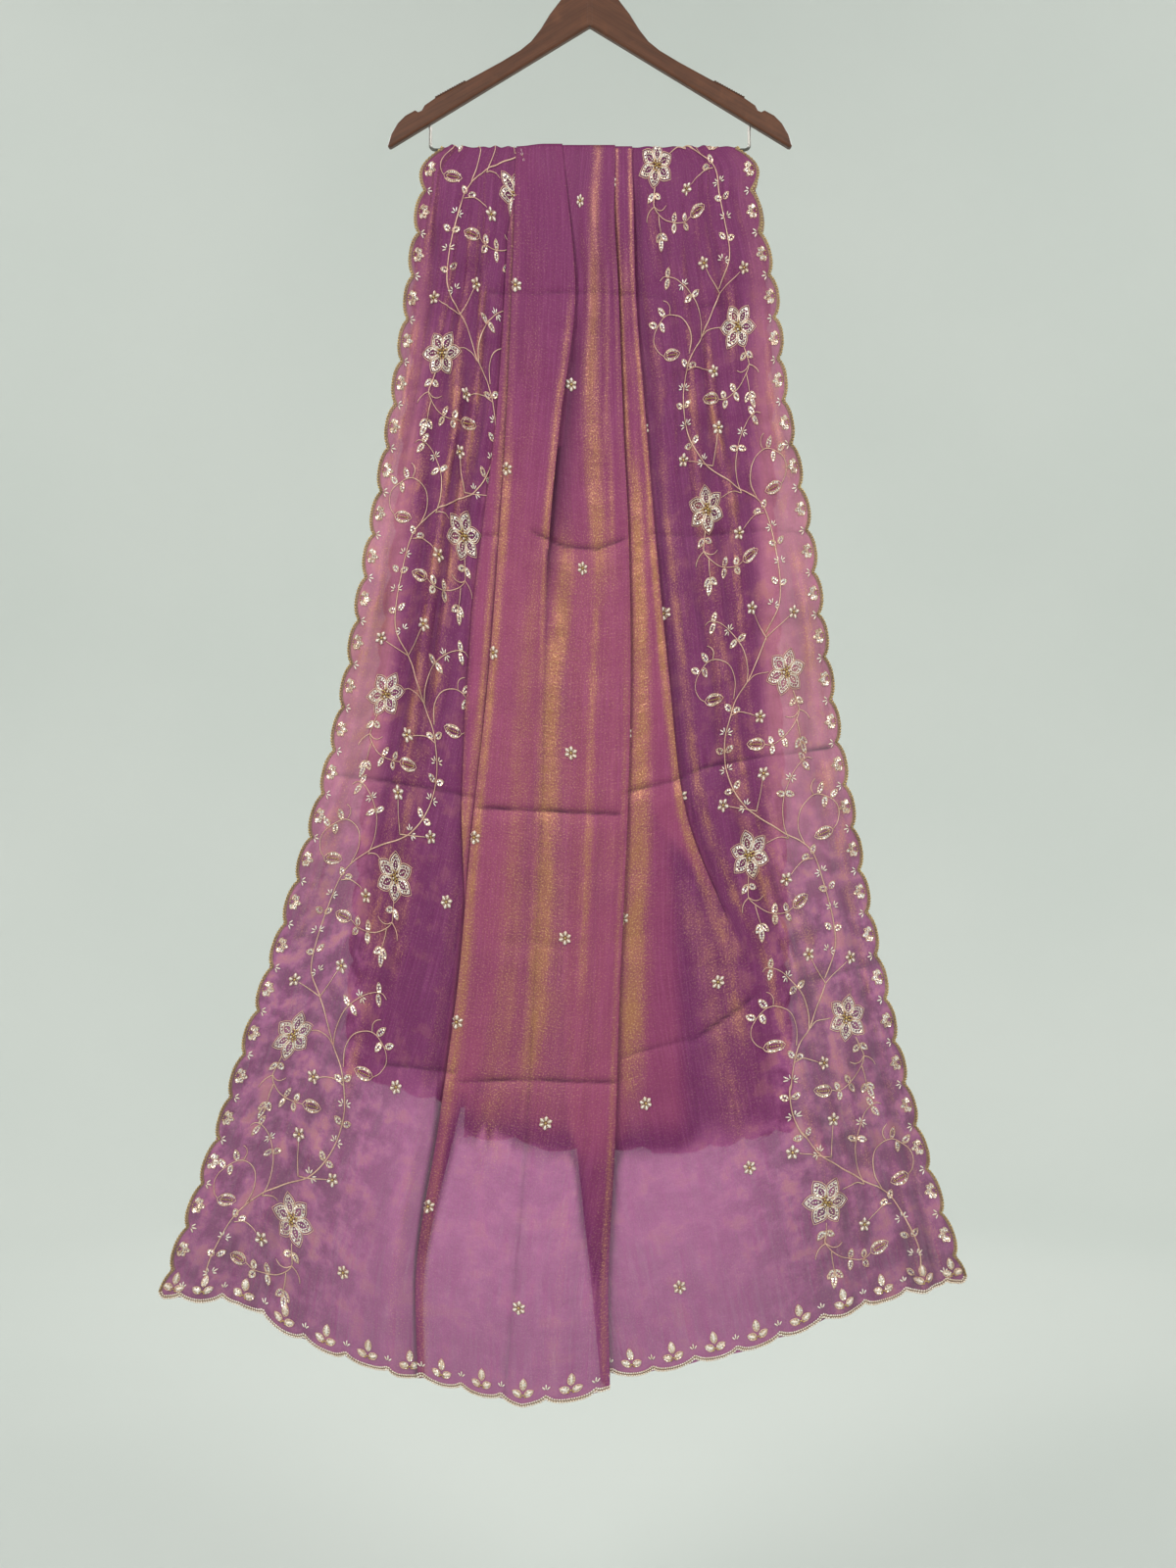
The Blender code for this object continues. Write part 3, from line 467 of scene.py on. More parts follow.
def section_at(fall, level):
    """The cloth's cross-section at a level of a fall, from its left edge to its right edge."""
    fold = columns_at(FOLD_COLUMNS, fall.folds, level)
    lap = columns_at(LAP_COLUMNS, fall.laps, level)
    cloth = columns_at(CLOTH_COLUMNS, fall.cloth, level)
    edge = SCALLOP_DEEP + SEAM
    left, right = fold.left + edge, fold.right - edge

    layer = TOP_LAYER + (LAYER - TOP_LAYER) * float(smooth_step(level / LAYER_LEVEL))
    bulge = layer / 2
    dart_shut, ridge_shut = (
        float(smooth_step((each + SHUT_RANGE) / (2 * SHUT_RANGE))) for each in (lap.dart, lap.ridge)
    )
    dart_open, ridge_open = (
        TURN_OPEN * float(smooth_step(-each / (2 * SHUT_RANGE))) for each in (lap.dart, lap.ridge)
    )
    dart_bulge, ridge_bulge = bulge * dart_shut, bulge * ridge_shut
    grown = float(smooth_step(level / SWELL_FROM_LEVEL))
    border_high = np.interp(level, BORDER_GATHER_LEVELS, BORDER_GATHER_HIGH)
    drift = GATHER_DRIFT * level
    fade_from, fade_over = SMALL_GATHERS_FADE
    small = SMALL_GATHER_HIGH * float(
        smooth_step(level / SMALL_GATHERS_GROWN) * (1 - smooth_step((level - fade_from) / fade_over))
    )
    lift = EDGE_LIFT * grown
    dart_lift, ridge_lift = lift * dart_shut, lift * (RIDGE_LIFT_OPEN + (1 - RIDGE_LIFT_OPEN) * ridge_shut)

    hidden_left = (cloth.under_left + cloth.panel_left) / 2
    hidden_dart = cloth.dart + abs(lap.dart)
    hidden_right = (cloth.panel_right + cloth.pleat) / 2
    hidden_ridge = cloth.ridge + abs(lap.ridge)
    if lap.ridge > 0:
        hidden_ridge = (cloth.ridge + cloth.under_right) / 2
    inner_left = fold.panel_left + lap.panel_left
    inner_dart = fold.dart - lap.dart
    inner_right = fold.panel_right - lap.panel_right
    inner_ridge = fold.ridge - lap.ridge
    out_dart = max(fold.dart, inner_dart) + PLAIN_STRIP
    out_ridge = max(fold.ridge, inner_ridge) + PLAIN_STRIP
    cloth_out_dart = hidden_dart + out_dart - inner_dart
    dart_top, dart_middle = 4 + 2 * dart_shut, 4 + dart_shut

    strip = float(np.interp(level, STRIP_LEVELS, STRIP_WIDE)) * MM
    strip_left = fold.panel_left - strip
    strip_under = fold.panel_left + STRIP_LAP * grown
    strip_lift = STRIP_LIFT * min(1.0, strip / STRIP_FULL)
    strip_cloth = cloth.panel_left - strip - 2 * STRIP_LAP * grown
    calm_from = (strip_left - left) / (fold.panel_left - left)

    third = bulge / 3
    s = Section(layer, left, edge)
    # Left border, its way under the panel and back, and the narrow strip that shows beside the panel
    s.stretch(
        fold.panel_left, 0, cloth.under_left, STEPS_BORDER,
        gathers(border_high, drift, small, level, calm_from),
    )
    s.fold(inner_left, bulge, (0, 1), hidden_left, STEPS_HIDDEN)
    s.fold(strip_left, -third, (1, 4 / 3), strip_cloth, STEPS_STRIP, lift=strip_lift)
    s.fold(strip_under, third, (4 / 3, 5 / 3), cloth.panel_left - STRIP_LAP * grown, STEPS_STRIP)
    s.fold(fold.panel_left, -third, (5 / 3, 2), cloth.panel_left, STEPS_HIDDEN, lift=lift)
    # Panel up to the dart, the dart's two turns, and the panel's right edge with its way back under itself
    s.end = (fold.panel_left + bulge, 2, cloth.panel_left, lift)
    s.fold(
        fold.dart, dart_bulge, (dart_top, dart_middle), cloth.dart, STEPS_PANEL,
        bumps(PANEL_SWELL * grown, 1), dart_lift, dart_open,
    )
    s.fold(inner_dart, -dart_bulge, (dart_middle, 4), hidden_dart, STEPS_HIDDEN, opened=dart_open)
    s.stretch(out_dart, 4, cloth_out_dart, STEPS_HIDDEN)
    s.fold(
        fold.panel_right, bulge, (4, 3), cloth.panel_right, STEPS_PANEL, bumps(PANEL_SWELL * grown, 2), lift
    )
    s.fold(inner_right, -bulge, (3, 2), hidden_right, STEPS_DEEP)
    s.stretch(fold.panel_right, 2, cloth.pleat, STEPS_DEEP)
    # Narrow pleat, its outer edge's two turns, and the right border
    s.fold(
        fold.ridge, ridge_bulge, (2, 2 - ridge_shut), cloth.ridge, STEPS_PLEAT,
        bumps(PLEAT_SWELL * grown, 1), ridge_lift, ridge_open,
    )
    s.fold(inner_ridge, -ridge_bulge, (ridge_shut, 0), hidden_ridge, STEPS_HIDDEN, opened=ridge_open)
    s.stretch(out_ridge, 0, cloth.under_right, STEPS_HIDDEN)
    s.stretch(
        right, 0, CLOTH_WIDTH - edge, STEPS_BORDER,
        gathers(border_high, RIGHT_BORDER_LEAN + drift, small, level),
    )
    x, depth, across = np.array(s.x), np.array(s.depth), np.array(s.across)
    return x, depth + sway(fall, level, (x - left) / (right - left)), across


def crease_relief(fall, x, down, high):
    """Packing creases: the depth of a sharp trough with a swell under it, and the painted shade along its
    line.
    """
    relief, dark = np.zeros_like(x), np.zeros_like(x)
    for line, strength in fall.creases:
        along, at = np.array(line, dtype=float).T
        below = down / MM - np.interp(x / MM, along, at)
        inside = np.minimum(x / MM - along[0], along[-1] - x / MM) / CREASE_END_FADE
        uneven = CREASE_UNEVEN * soft_noise(x + 1.0, 0 * x, CREASE_UNEVEN_SIZE, CREASE_SEED)
        shown = strength * smooth_step(inside + 0.5) * (CREASE_EVEN + uneven)
        trough = np.where(below < 0, np.exp(below / CREASE_ABOVE), np.exp(-below / CREASE_BELOW))
        past = np.maximum(below, 0.0) / CREASE_SWELL_FROM
        swell = past * np.exp(1 - past)
        relief += shown * (LEDGE_RISE * swell - trough)
        faded = np.where(below < 0, CREASE_SHADE_TAIL + (1 - CREASE_SHADE_TAIL) * np.exp(below / CREASE_LINE), 1.0)
        reach = np.where(below < 0, CREASE_SHADE_ABOVE, CREASE_SHADE_BELOW)
        dark = np.maximum(dark, CREASE_DARK * shown * faded * np.exp(-((below / reach) ** 2)))
    return relief * high, np.clip(dark, 0.0, 1.0)


def fold_shade(fall, level, across):
    """How much painted shade the cloth gets just beside each fold that lies over it, from 0 to 1."""
    cloth = columns_at(CLOTH_COLUMNS, fall.cloth, level)
    lap = columns_at(LAP_COLUMNS, fall.laps, level)
    gap = float(smooth_step((level - 0.10) / 0.10) * (1 - smooth_step((level - 0.27) / 0.15)))
    grown = float(smooth_step(level / 0.06))
    under_strip = float(np.interp(level, STRIP_LEVELS, STRIP_WIDE)) * MM
    # Each row: where the covering edge lies, which way its shade falls, how far, and how dark.
    edges = (
        (cloth.under_left - 0.9 * under_strip, -1, SHADE_REACH, 0.75),
        (cloth.panel_left - 2 * STRIP_LAP, -1, SHADE_REACH, 0.85 * min(1.0, under_strip / 0.005)),
        (cloth.dart + 2 * max(lap.dart, 0.0), 1, SHADE_REACH + 0.014 * gap, 0.60 + 0.9 * gap),
        (cloth.pleat, 1, SHADE_REACH * 0.7, 0.7),
        (cloth.under_right, 1, SHADE_REACH * 1.4, 0.6 * float(1 - smooth_step((level - 0.55) / 0.15))),
    )
    shade = np.zeros_like(across)
    for place, way, wide, strength in edges:
        away = (across - place) * way
        falling = grown * strength * np.exp(-np.abs(away) / wide)
        shade = np.maximum(shade, np.where(away > -LAYER, falling, 0.0))
    return shade


def fine_wrinkles(across, x, down, level, high):
    """Small crumples of the cloth, softer near the bar and stronger in the borders."""
    grow = smooth_step(level / 0.1)
    from_edge = CLOTH_WIDTH / 2 - np.abs(across - CLOTH_WIDTH / 2)
    in_border = smooth_step((BORDER_CRUMPLE_WIDE - from_edge) / 0.05)
    crumple = sum(
        share * soft_noise(x + 1.0 + slant * down, down, size, seed) for share, size, slant, seed in CRUMPLES
    )
    streaks = soft_noise(across, down * STREAK_STRETCH, STREAK_SIZE, STREAK_SEED)
    more = BORDER_CRUMPLE + CORNER_CRUMPLE * smooth_step((level - 0.72) / 0.2)
    return grow * high * (crumple * (1 + more * in_border) + STREAK_SHARE * streaks)


def closer_rows(count, bands):
    """Levels from 0 to 1 for a fall's rows, closer together where the creases cross."""
    fine = np.linspace(0.0, 1.0, 4001)
    crowd = np.ones_like(fine)
    for start, end in bands:
        crowd += (CREASE_ROWS_CLOSER - 1) * ((fine > start) & (fine < end))
    total = np.concatenate(((0.0,), np.cumsum(crowd[:-1])))
    return np.interp(np.linspace(0.0, total[-1], count), total, fine)


class HangingCloth:
    """The hanging sheet as rows of points from the front hem to the back hem, and its flat map."""

    def __init__(self, crease_high, wrinkle_high):
        self.crease_high = crease_high
        self.wrinkle_high = wrinkle_high
        front = -closer_rows(FRONT_ROWS, FRONT_CREASE_LEVELS)[::-1]
        over = np.linspace(0.0, TURN_SHARE, TURN_ROWS + 2)[1:-1]
        back = TURN_SHARE + closer_rows(BACK_ROWS, BACK_CREASE_LEVELS)
        self.stations = np.concatenate((front, over, back))
        rows, flats, shades = zip(*(self.row_at_station(station) for station in self.stations))
        self.points = np.array(rows)
        self.flat = np.array(flats)
        self.shade = np.array(shades)
        self.even_points = self.resampled()
        self.layers = self.layers_here()
        self.hollow = self.hollow_here()
        # Painted shade in the hollows between the waves.
        self.shade = np.maximum(self.shade, HOLLOW_DARK * np.clip(self.hollow, 0.0, 1.0))

    def layers_here(self):
        """How many layers of cloth lie one over another at each point, both falls together."""
        here = np.zeros(self.points.shape[:2])
        for i, row in enumerate(self.points):
            x = row[:, 0]
            low, high = np.minimum(x[:-1], x[1:]), np.maximum(x[:-1], x[1:])
            shared = np.minimum(high, x[:, None] + LAYER_BLUR) - np.maximum(low, x[:, None] - LAYER_BLUR)
            here[i] = np.maximum(shared, 0.0).sum(axis=1) / (2 * LAYER_BLUR)
        back = self.stations > TURN_SHARE
        level = np.where(back, self.stations - TURN_SHARE, -self.stations)[:, None]
        thin = 1 - HEM_THINNER * smooth_step((level - HEM_THINS_FROM) / 0.10)
        here = 1 + (np.maximum(here, 1.0) - 1) * thin
        return here + np.where(back[:, None], BACK_LAYERS, self.covered(back))

    def covered(self, back):
        """How much of the back fall lies behind each point: 0 beside it, 1 before it, more at its panel."""
        x, z = self.points[..., 0], self.points[..., 2]
        down = (BAR_Z - z) / BACK.drop(CLOTH_WIDTH / 2)
        levels, rows = zip(*BACK_FOLDS)
        left, right = (np.interp(down, levels, [row[i] * MM for row in rows]) for i in (1, 4))
        hem, (soft, shift) = np.interp(x, *self.hem_line(back)), COVER_HEM
        share = smooth_step((z - hem) / soft + shift)
        for inside, (soft, shift) in (
            (x - np.interp(z, *self.side_line(back, 0)), COVER_LEFT),
            (np.interp(z, *self.side_line(back, -1)) - x, COVER_RIGHT),
        ):
            share *= smooth_step(inside / soft + shift)
        soft, shift = COVER_PANEL
        return share * (1 + COVER_PANEL_MORE * smooth_step(np.minimum(x - left, right - x) / soft + shift))

    def hollow_here(self):
        """How far each point lies behind the cloth around it (1) or stands before it (-1)."""
        facing = np.where(self.stations > TURN_SHARE, -1.0, 1.0)[:, None]
        depth = -facing * self.even_points[..., 1]
        half = int(HOLLOW_REACH / MM)
        padded = np.pad(depth, ((0, 0), (half + 1, half)), mode="edge")
        total = np.cumsum(padded, axis=1)
        around = (total[:, 2 * half + 1:] - total[:, :-2 * half - 1]) / (2 * half + 1)
        behind = np.tanh((around - depth) / HOLLOW_DEEP)
        wanted = np.arange(behind.shape[1]) * MM
        grown = smooth_step((np.abs(self.stations) - 0.01) / 0.08)
        return np.array([
            np.interp(flat[:, 0], wanted, row) * size for flat, row, size in zip(self.flat, behind, grown)
        ])

    def hem_line(self, back):
        hem = self.points[back][-1]
        order = np.argsort(hem[:, 0])
        return hem[order, 0], hem[order, 2]

    def side_line(self, back, end):
        side = self.points[back][::-1, end]
        return side[:, 2], side[:, 0]

    def scalloped(self):
        """The sheet with its scalloped outline: points, flat places, layers, shade and hollow."""
        parts = (self.points, self.flat, self.layers, self.shade, self.hollow)
        shares = np.linspace(1.0, 0.0, EDGE_STEPS + 1)[:-1]
        sides = []
        for end, way, edge_across in ((0, -1, 0.0), (-1, 1, CLOTH_WIDTH)):
            out = np.outer(side_reach(self, self.flat[:, end, 1] / MM, edge_across), shares) * MM
            made = [np.repeat(part[:, end, None], EDGE_STEPS, axis=1) for part in parts]
            for places in made[:2]:
                places[..., 0] += way * out
            sides.append(made if end == 0 else [each[:, ::-1] for each in made])
        whole = [np.concatenate(three, axis=1) for three in zip(sides[0], parts, sides[1])]
        for row, before in ((0, True), (-1, False)):
            whole = [self.with_hem(whole, row, before, number) for number in range(len(parts))]
        return whole

    def with_hem(self, whole, row, before, number):
        """Adds the rows that hang down from a hem line into its scallops."""
        flat = whole[1][row]
        lobe = np.clip(flat[:, 0], 0.0, CLOTH_WIDTH) / CLOTH_WIDTH * HEM_SCALLOPS + 0.5
        edge = SCALLOP_DEEP + SEAM
        outside = np.maximum(edge - flat[:, 0], flat[:, 0] - CLOTH_WIDTH + edge) / SCALLOP_DEEP
        hang = np.where(outside > 0, SCALLOP_DEEP * np.sqrt(np.clip(1 - outside**2, 0, 1)), scallop(lobe))
        added = []
        for share in np.linspace(0.0, 1.0, EDGE_STEPS + 1)[1:]:
            made = whole[number][row].copy()
            if number == 0:
                made[:, 2] -= hang * share
            if number == 1:
                made[:, 1] += (-hang if before else hang) * share
            added.append(made)
        added = np.array(added[::-1] if before else added)
        return np.concatenate((added, whole[number]) if before else (whole[number], added))

    def turn_length(self):
        return math.pi * TURN_RADIUS

    def row_at_station(self, station):
        """One row: points, flat places (across from the left edge, up from the front hem) and painted shade.
        """
        if 0 < station < TURN_SHARE:
            x, depth, across = section_at(FRONT, 0.0)
            angle = math.pi * (station / TURN_SHARE - 0.5)
            reach = TURN_RADIUS + depth
            points = np.column_stack((x, reach * math.sin(angle), BAR_Z + reach * math.cos(angle)))
            up = FRONT.drop(across) + self.turn_length() * station / TURN_SHARE
            return points, np.column_stack((across, up)), np.zeros_like(across)
        fall, level = (FRONT, -station) if station <= 0 else (BACK, station - TURN_SHARE)
        x, depth, across = section_at(fall, level)
        down = level * fall.drop(across)
        relief, dark = crease_relief(fall, x, down, self.crease_high)
        relief += fine_wrinkles(across, x, down, level, self.wrinkle_high)
        # Painted shade beside folds and along the crease lines.
        shade = np.maximum(dark, SHADE_DARK * fold_shade(fall, level, across))
        y = -fall.facing * (TURN_RADIUS + depth + relief)
        up = FRONT.drop(across) - down
        if fall is BACK:
            up = FRONT.drop(across) + self.turn_length() + down
        return np.column_stack((x, y, BAR_Z - down)), np.column_stack((across, up)), shade

    def resampled(self):
        """The same rows at each millimetre across the flat cloth."""
        wanted = np.arange(0.0, CLOTH_WIDTH + MM, MM)
        grid = np.empty((len(self.points), len(wanted), 3))
        for i, (points, flat) in enumerate(zip(self.points, self.flat)):
            places = flat[:, 0] + np.arange(len(flat)) * 1e-9
            for axis in range(3):
                grid[i, :, axis] = np.interp(wanted, places, points[:, axis])
            for ends, inner in ((wanted < places[0], 0), (wanted > places[-1], -1)):
                grid[i, ends, 0] += wanted[ends] - places[inner]
        return grid

    def length(self, across):
        """How long the cloth is from hem to hem at a place across."""
        return FRONT.drop(across) + self.turn_length() + BACK.drop(across)

    def length_mm(self, across):
        return self.length(np.asarray(across) * MM) / MM

    def station_of(self, across, up):
        front, back = FRONT.drop(across), BACK.drop(across)
        over = self.turn_length()
        station = np.where(up < front, up / front - 1.0, (up - front) / over * TURN_SHARE)
        return np.where(up > front + over, TURN_SHARE + (up - front - over) / back, station)

    def place(self, flat, high):
        """Points of the hanging cloth for flat places, raised by high along the cloth's face."""
        across, up = flat[:, 0], flat[:, 1]
        centre = self.read(across, up)
        step = 0.0015
        right = self.read(across + step, up) - self.read(across - step, up)
        above = self.read(across, up + step) - self.read(across, up - step)
        normal = np.cross(right, above)
        size = np.linalg.norm(normal, axis=1, keepdims=True)
        normal = normal / np.maximum(size, 1e-12)
        return centre + normal * high[:, None]

    def read(self, across, up):
        rows = np.interp(self.station_of(across, up), self.stations, np.arange(len(self.stations)))
        columns = np.clip(across / MM, 0.0, self.even_points.shape[1] - 1.001)
        rows = np.clip(rows, 0.0, len(self.stations) - 1.001)
        i, j = rows.astype(int), columns.astype(int)
        a, b = (rows - i)[:, None], (columns - j)[:, None]
        g = self.even_points
        low = g[i, j] * (1 - b) + g[i, j + 1] * b
        high = g[i + 1, j] * (1 - b) + g[i + 1, j + 1] * b
        points = low * (1 - a) + high * a
        past_front = np.minimum(up, 0.0)
        past_back = np.maximum(up - self.length(across), 0.0)
        points[:, 2] += past_front - past_back
        return points


class Stitching:
    """Cords, beads and sequins laid out in flat places, in millimetres, that become one mesh.

    Points are across, up and height off the cloth. Kinds count the materials of the finished piece.
    """

    def __init__(self):
        self.points, self.faces, self.kinds = [], [], []
        self.count = 0

    def add(self, points, faces, kind):
        self.points.append(points)
        self.faces.extend((np.asarray(faces) + self.count).tolist())
        self.kinds.extend([kind] * len(faces))
        self.count += len(points)

    def tube(self, line, radius, high, kind, closed=False, sides=4):
        """A cord along a flat line; radius and height may change along it."""
        line = np.asarray(line, dtype=float)
        if closed:
            ahead = np.roll(line, -1, axis=0) - np.roll(line, 1, axis=0)
        else:
            ahead = np.gradient(line, axis=0)
        size = np.maximum(np.hypot(ahead[:, 0], ahead[:, 1]), 1e-9)
        beside = np.column_stack((ahead[:, 1], -ahead[:, 0])) / size[:, None]
        angles = (np.arange(sides) + 0.5) * 2 * math.pi / sides
        radius = np.broadcast_to(radius, (len(line),))
        high = np.broadcast_to(high, (len(line),))
        ring = np.empty((len(line), sides, 3))
        ring[..., :2] = line[:, None] + beside[:, None] * (radius[:, None] * np.cos(angles))[..., None]
        ring[..., 2] = high[:, None] + radius[:, None] * np.sin(angles)
        index = np.arange(len(line) * sides).reshape(len(line), sides)
        if closed:
            index = np.concatenate((index, index[:1]))
        here, there = index[:-1], index[1:]
        faces = np.stack((here, np.roll(here, -1, 1), np.roll(there, -1, 1), there), axis=-1).reshape(-1, 4)
        self.add(ring.reshape(-1, 3), faces, kind)
        if not closed:
            ends = index[[0, -1]][:, [0, 1, 2, 3 % sides]]
            ends[0] = ends[0][::-1]
            base = self.count - len(line) * sides
            self.faces.extend([list(dict.fromkeys((end + base).tolist())) for end in ends])
            self.kinds.extend([kind, kind])

    def bead(self, place, radius, kind, high=None):
        """A round bead that sits on the cloth."""
        high = radius if high is None else high
        points = BEAD_POINTS * radius + np.array((place[0], place[1], high))
        self.add(points, BEAD_FACES, kind)

    def sequin(self, place, radius, high, tilt, kind):
        """A small dished disc, tipped a little its own way."""
        angles = np.arange(6) * math.pi / 3 + tilt
        points = np.zeros((7, 3))
        points[1:, 0] = radius * np.cos(angles)
        points[1:, 1] = radius * np.sin(angles)
        points[1:, 2] = 0.16 * radius + 0.34 * radius * np.cos(angles - 3 * tilt)
        points += np.array((place[0], place[1], high))
        self.add(points, [(0, i + 1, (i + 1) % 6 + 1) for i in range(6)], kind)

    def finish(self, name, sheet, materials, flat_kinds=()):
        """Carries everything onto the hanging cloth and makes the mesh."""
        points = np.concatenate(self.points) * MM
        placed = sheet.place(points[:, :2], points[:, 2])
        thing = add_mesh(name, placed, self.faces, materials[0])
        for material in materials[1:]:
            thing.data.materials.append(material)
        thing.data.polygons.foreach_set("material_index", self.kinds)
        smooth = [kind not in flat_kinds for kind in self.kinds]
        thing.data.polygons.foreach_set("use_smooth", smooth)
        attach(thing, "root")
        return thing


def ball():
    """Points and faces of a 20 sided ball."""
    long, short = 0.850651, 0.525731
    points = []
    for a in (-short, short):
        for b in (-long, long):
            points += [(0, a, b), (a, b, 0), (b, 0, a)]
    points = np.array(points)
    faces = []
    near = np.linalg.norm(points[:, None] - points[None], axis=2) < 1.1
    for i in range(12):
        for j in range(i + 1, 12):
            for k in range(j + 1, 12):
                if near[i, j] and near[j, k] and near[i, k]:
                    out = np.dot(np.cross(points[j] - points[i], points[k] - points[i]), points[i]) > 0
                    faces.append((i, j, k) if out else (i, k, j))
    return points, faces


BEAD_POINTS, BEAD_FACES = ball()
CLOTH_CACHE = {}


def hanging_cloth(settings):
    """The hanging sheet for these settings, worked out once."""
    key = (settings.crease_high, settings.wrinkle_high)
    if key not in CLOTH_CACHE:
        CLOTH_CACHE[key] = HangingCloth(*key)
    return CLOTH_CACHE[key]


class SheetStep:
    """A step that works on the hanging sheet: its build gets the settings and the sheet."""

    def execute(self, context):
        stole = context.scene.stole
        self.build(stole, hanging_cloth(stole.cloth))
        return {"FINISHED"}


class Value:
    """A shader socket that Python's operators turn into Math nodes."""

    def __init__(self, finish, socket):
        self.finish = finish
        self.socket = socket

    def math(self, operation, *numbers):
        return self.finish.node("Math", {"operation": operation}, dict(enumerate(numbers)))

    def __add__(self, other):
        return self.math("ADD", self, other)

    def __sub__(self, other):
        return self.math("SUBTRACT", self, other)

    def __mul__(self, other):
        return self.math("MULTIPLY", self, other)

    def __abs__(self):
        return self.math("ABSOLUTE", self)

    def __rsub__(self, other):
        return self.math("SUBTRACT", other, self)

    __radd__ = __add__
    __rmul__ = __mul__


class Finish:
    """A material and the shader nodes that make it."""

    def __init__(self, name):
        self.material = bpy.data.materials.new(name)
        self.material.use_nodes = True
        self.nodes = self.material.node_tree.nodes
        self.links = self.material.node_tree.links
        self.shader = self.nodes["Principled BSDF"]

    def node(self, kind, settings=None, sockets=None, out=0):
        """Adds a node: its settings first, then its sockets' values or links. Gives one output."""
        made = self.nodes.new("ShaderNode" + kind)
        for name, value in (settings or {}).items():
            if name == "stops":
                self.set_stops(made.color_ramp, value)
            else:
                setattr(made, name, value)
        for name, value in (sockets or {}).items():
            self.feed(made.inputs[name], value)
        return Value(self, made.outputs[out])

    def set_stops(self, ramp, stops):
        while len(ramp.elements) < len(stops):
            ramp.elements.new(0.5)
        for element, (place, colour) in zip(ramp.elements, stops):
            element.position = place
            element.color = (*colour, 1.0)

    def feed(self, socket, value):
        if isinstance(value, Value):
            self.links.new(value.socket, socket)
        elif hasattr(socket.default_value, "__len__") and len(socket.default_value) == 4 and len(value) == 3:
            socket.default_value = (*value, 1.0)
        else:
            socket.default_value = value

    def surface(self, **sockets):
        for name, value in sockets.items():
            self.feed(self.shader.inputs[name.replace("_", " ").title().replace("Ior", "IOR")], value)

    def mix(self, share, low, high):
        """A colour between two, by a share from 0 to 1."""
        low, high = (each if isinstance(each, Value) else linear(each) for each in (low, high))
        return self.node(
            "Mix", {"data_type": "RGBA", "clamp_factor": True},
            {0: share, 6: low, 7: high}, out=2,
        )

    def layered(self, colour, *coats):
        """A colour with coats laid over it one by one, each a share from 0 to 1 and a colour."""
        for share, coat in coats:
            colour = self.mix(share, colour, coat)
        return colour

    def attribute(self, name, out="Fac"):
        return self.node("Attribute", {"attribute_name": name}, out=out)

    def noise(self, size, detail=2.0, rough=0.5, vector=None, stretch=None):
        """Smooth noise from 0 to 1 whose blotches are about size metres wide."""
        vector = vector or self.node("TexCoord", out="Object")
        if stretch:
            vector = self.node("Mapping", {}, {"Vector": vector, "Scale": stretch})
        return self.node(
            "TexNoise", {}, {"Vector": vector, "Scale": 1 / size, "Detail": detail, "Roughness": rough}
        )

    def ranged(self, value, low, high, to_low=0.0, to_high=1.0):
        return self.node(
            "MapRange", {"interpolation_type": "SMOOTHSTEP"},
            {"Value": value, "From Min": low, "From Max": high, "To Min": to_low, "To Max": to_high},
        )

    def bump(self, height, strength, distance, under=None):
        sockets = {"Height": height, "Strength": strength, "Distance": distance}
        if under:
            sockets["Normal"] = under
        return self.node("Bump", {}, sockets)


def linear(colour):
    """Turns a colour picked on the screen into the shader's own scale."""
    return tuple(c / 12.92 if c <= 0.04045 else ((c + 0.055) / 1.055) ** 2.4 for c in colour)


def add_mesh(name, points, faces, material, smooth=True):
    mesh = bpy.data.meshes.new(name)
    mesh.from_pydata(np.asarray(points).tolist(), [], faces)
    mesh.update()
    if smooth:
        mesh.shade_smooth()
    thing = bpy.data.objects.new(name, mesh)
    bpy.context.scene.collection.objects.link(thing)
    mesh.materials.append(material)
    return thing


def grid_faces(rows, columns):
    """Faces between neighbouring points of a grid, seen from the front."""
    index = np.arange(rows * columns).reshape(rows, columns)
    corners = (index[:-1, :-1], index[:-1, 1:], index[1:, 1:], index[1:, :-1])
    return np.stack([corner.ravel() for corner in corners], axis=1).tolist()


def point_attribute(mesh, name, kind, values):
    layer = mesh.attributes.new(name, kind, "POINT")
    layer.data.foreach_set("vector" if kind == "FLOAT_VECTOR" else "value", np.ravel(values))


# Painted copper sheen on slopes and crests, and how much of it the cloth loses low down.
SLOPE_LIGHT = 0.36
CREST_LIGHT = 0.55
LOW_LIGHT_LOSS = 0.55

# The bar's place in the flat cloth, in metres up from the front hem.
BAR_UP = 1.36
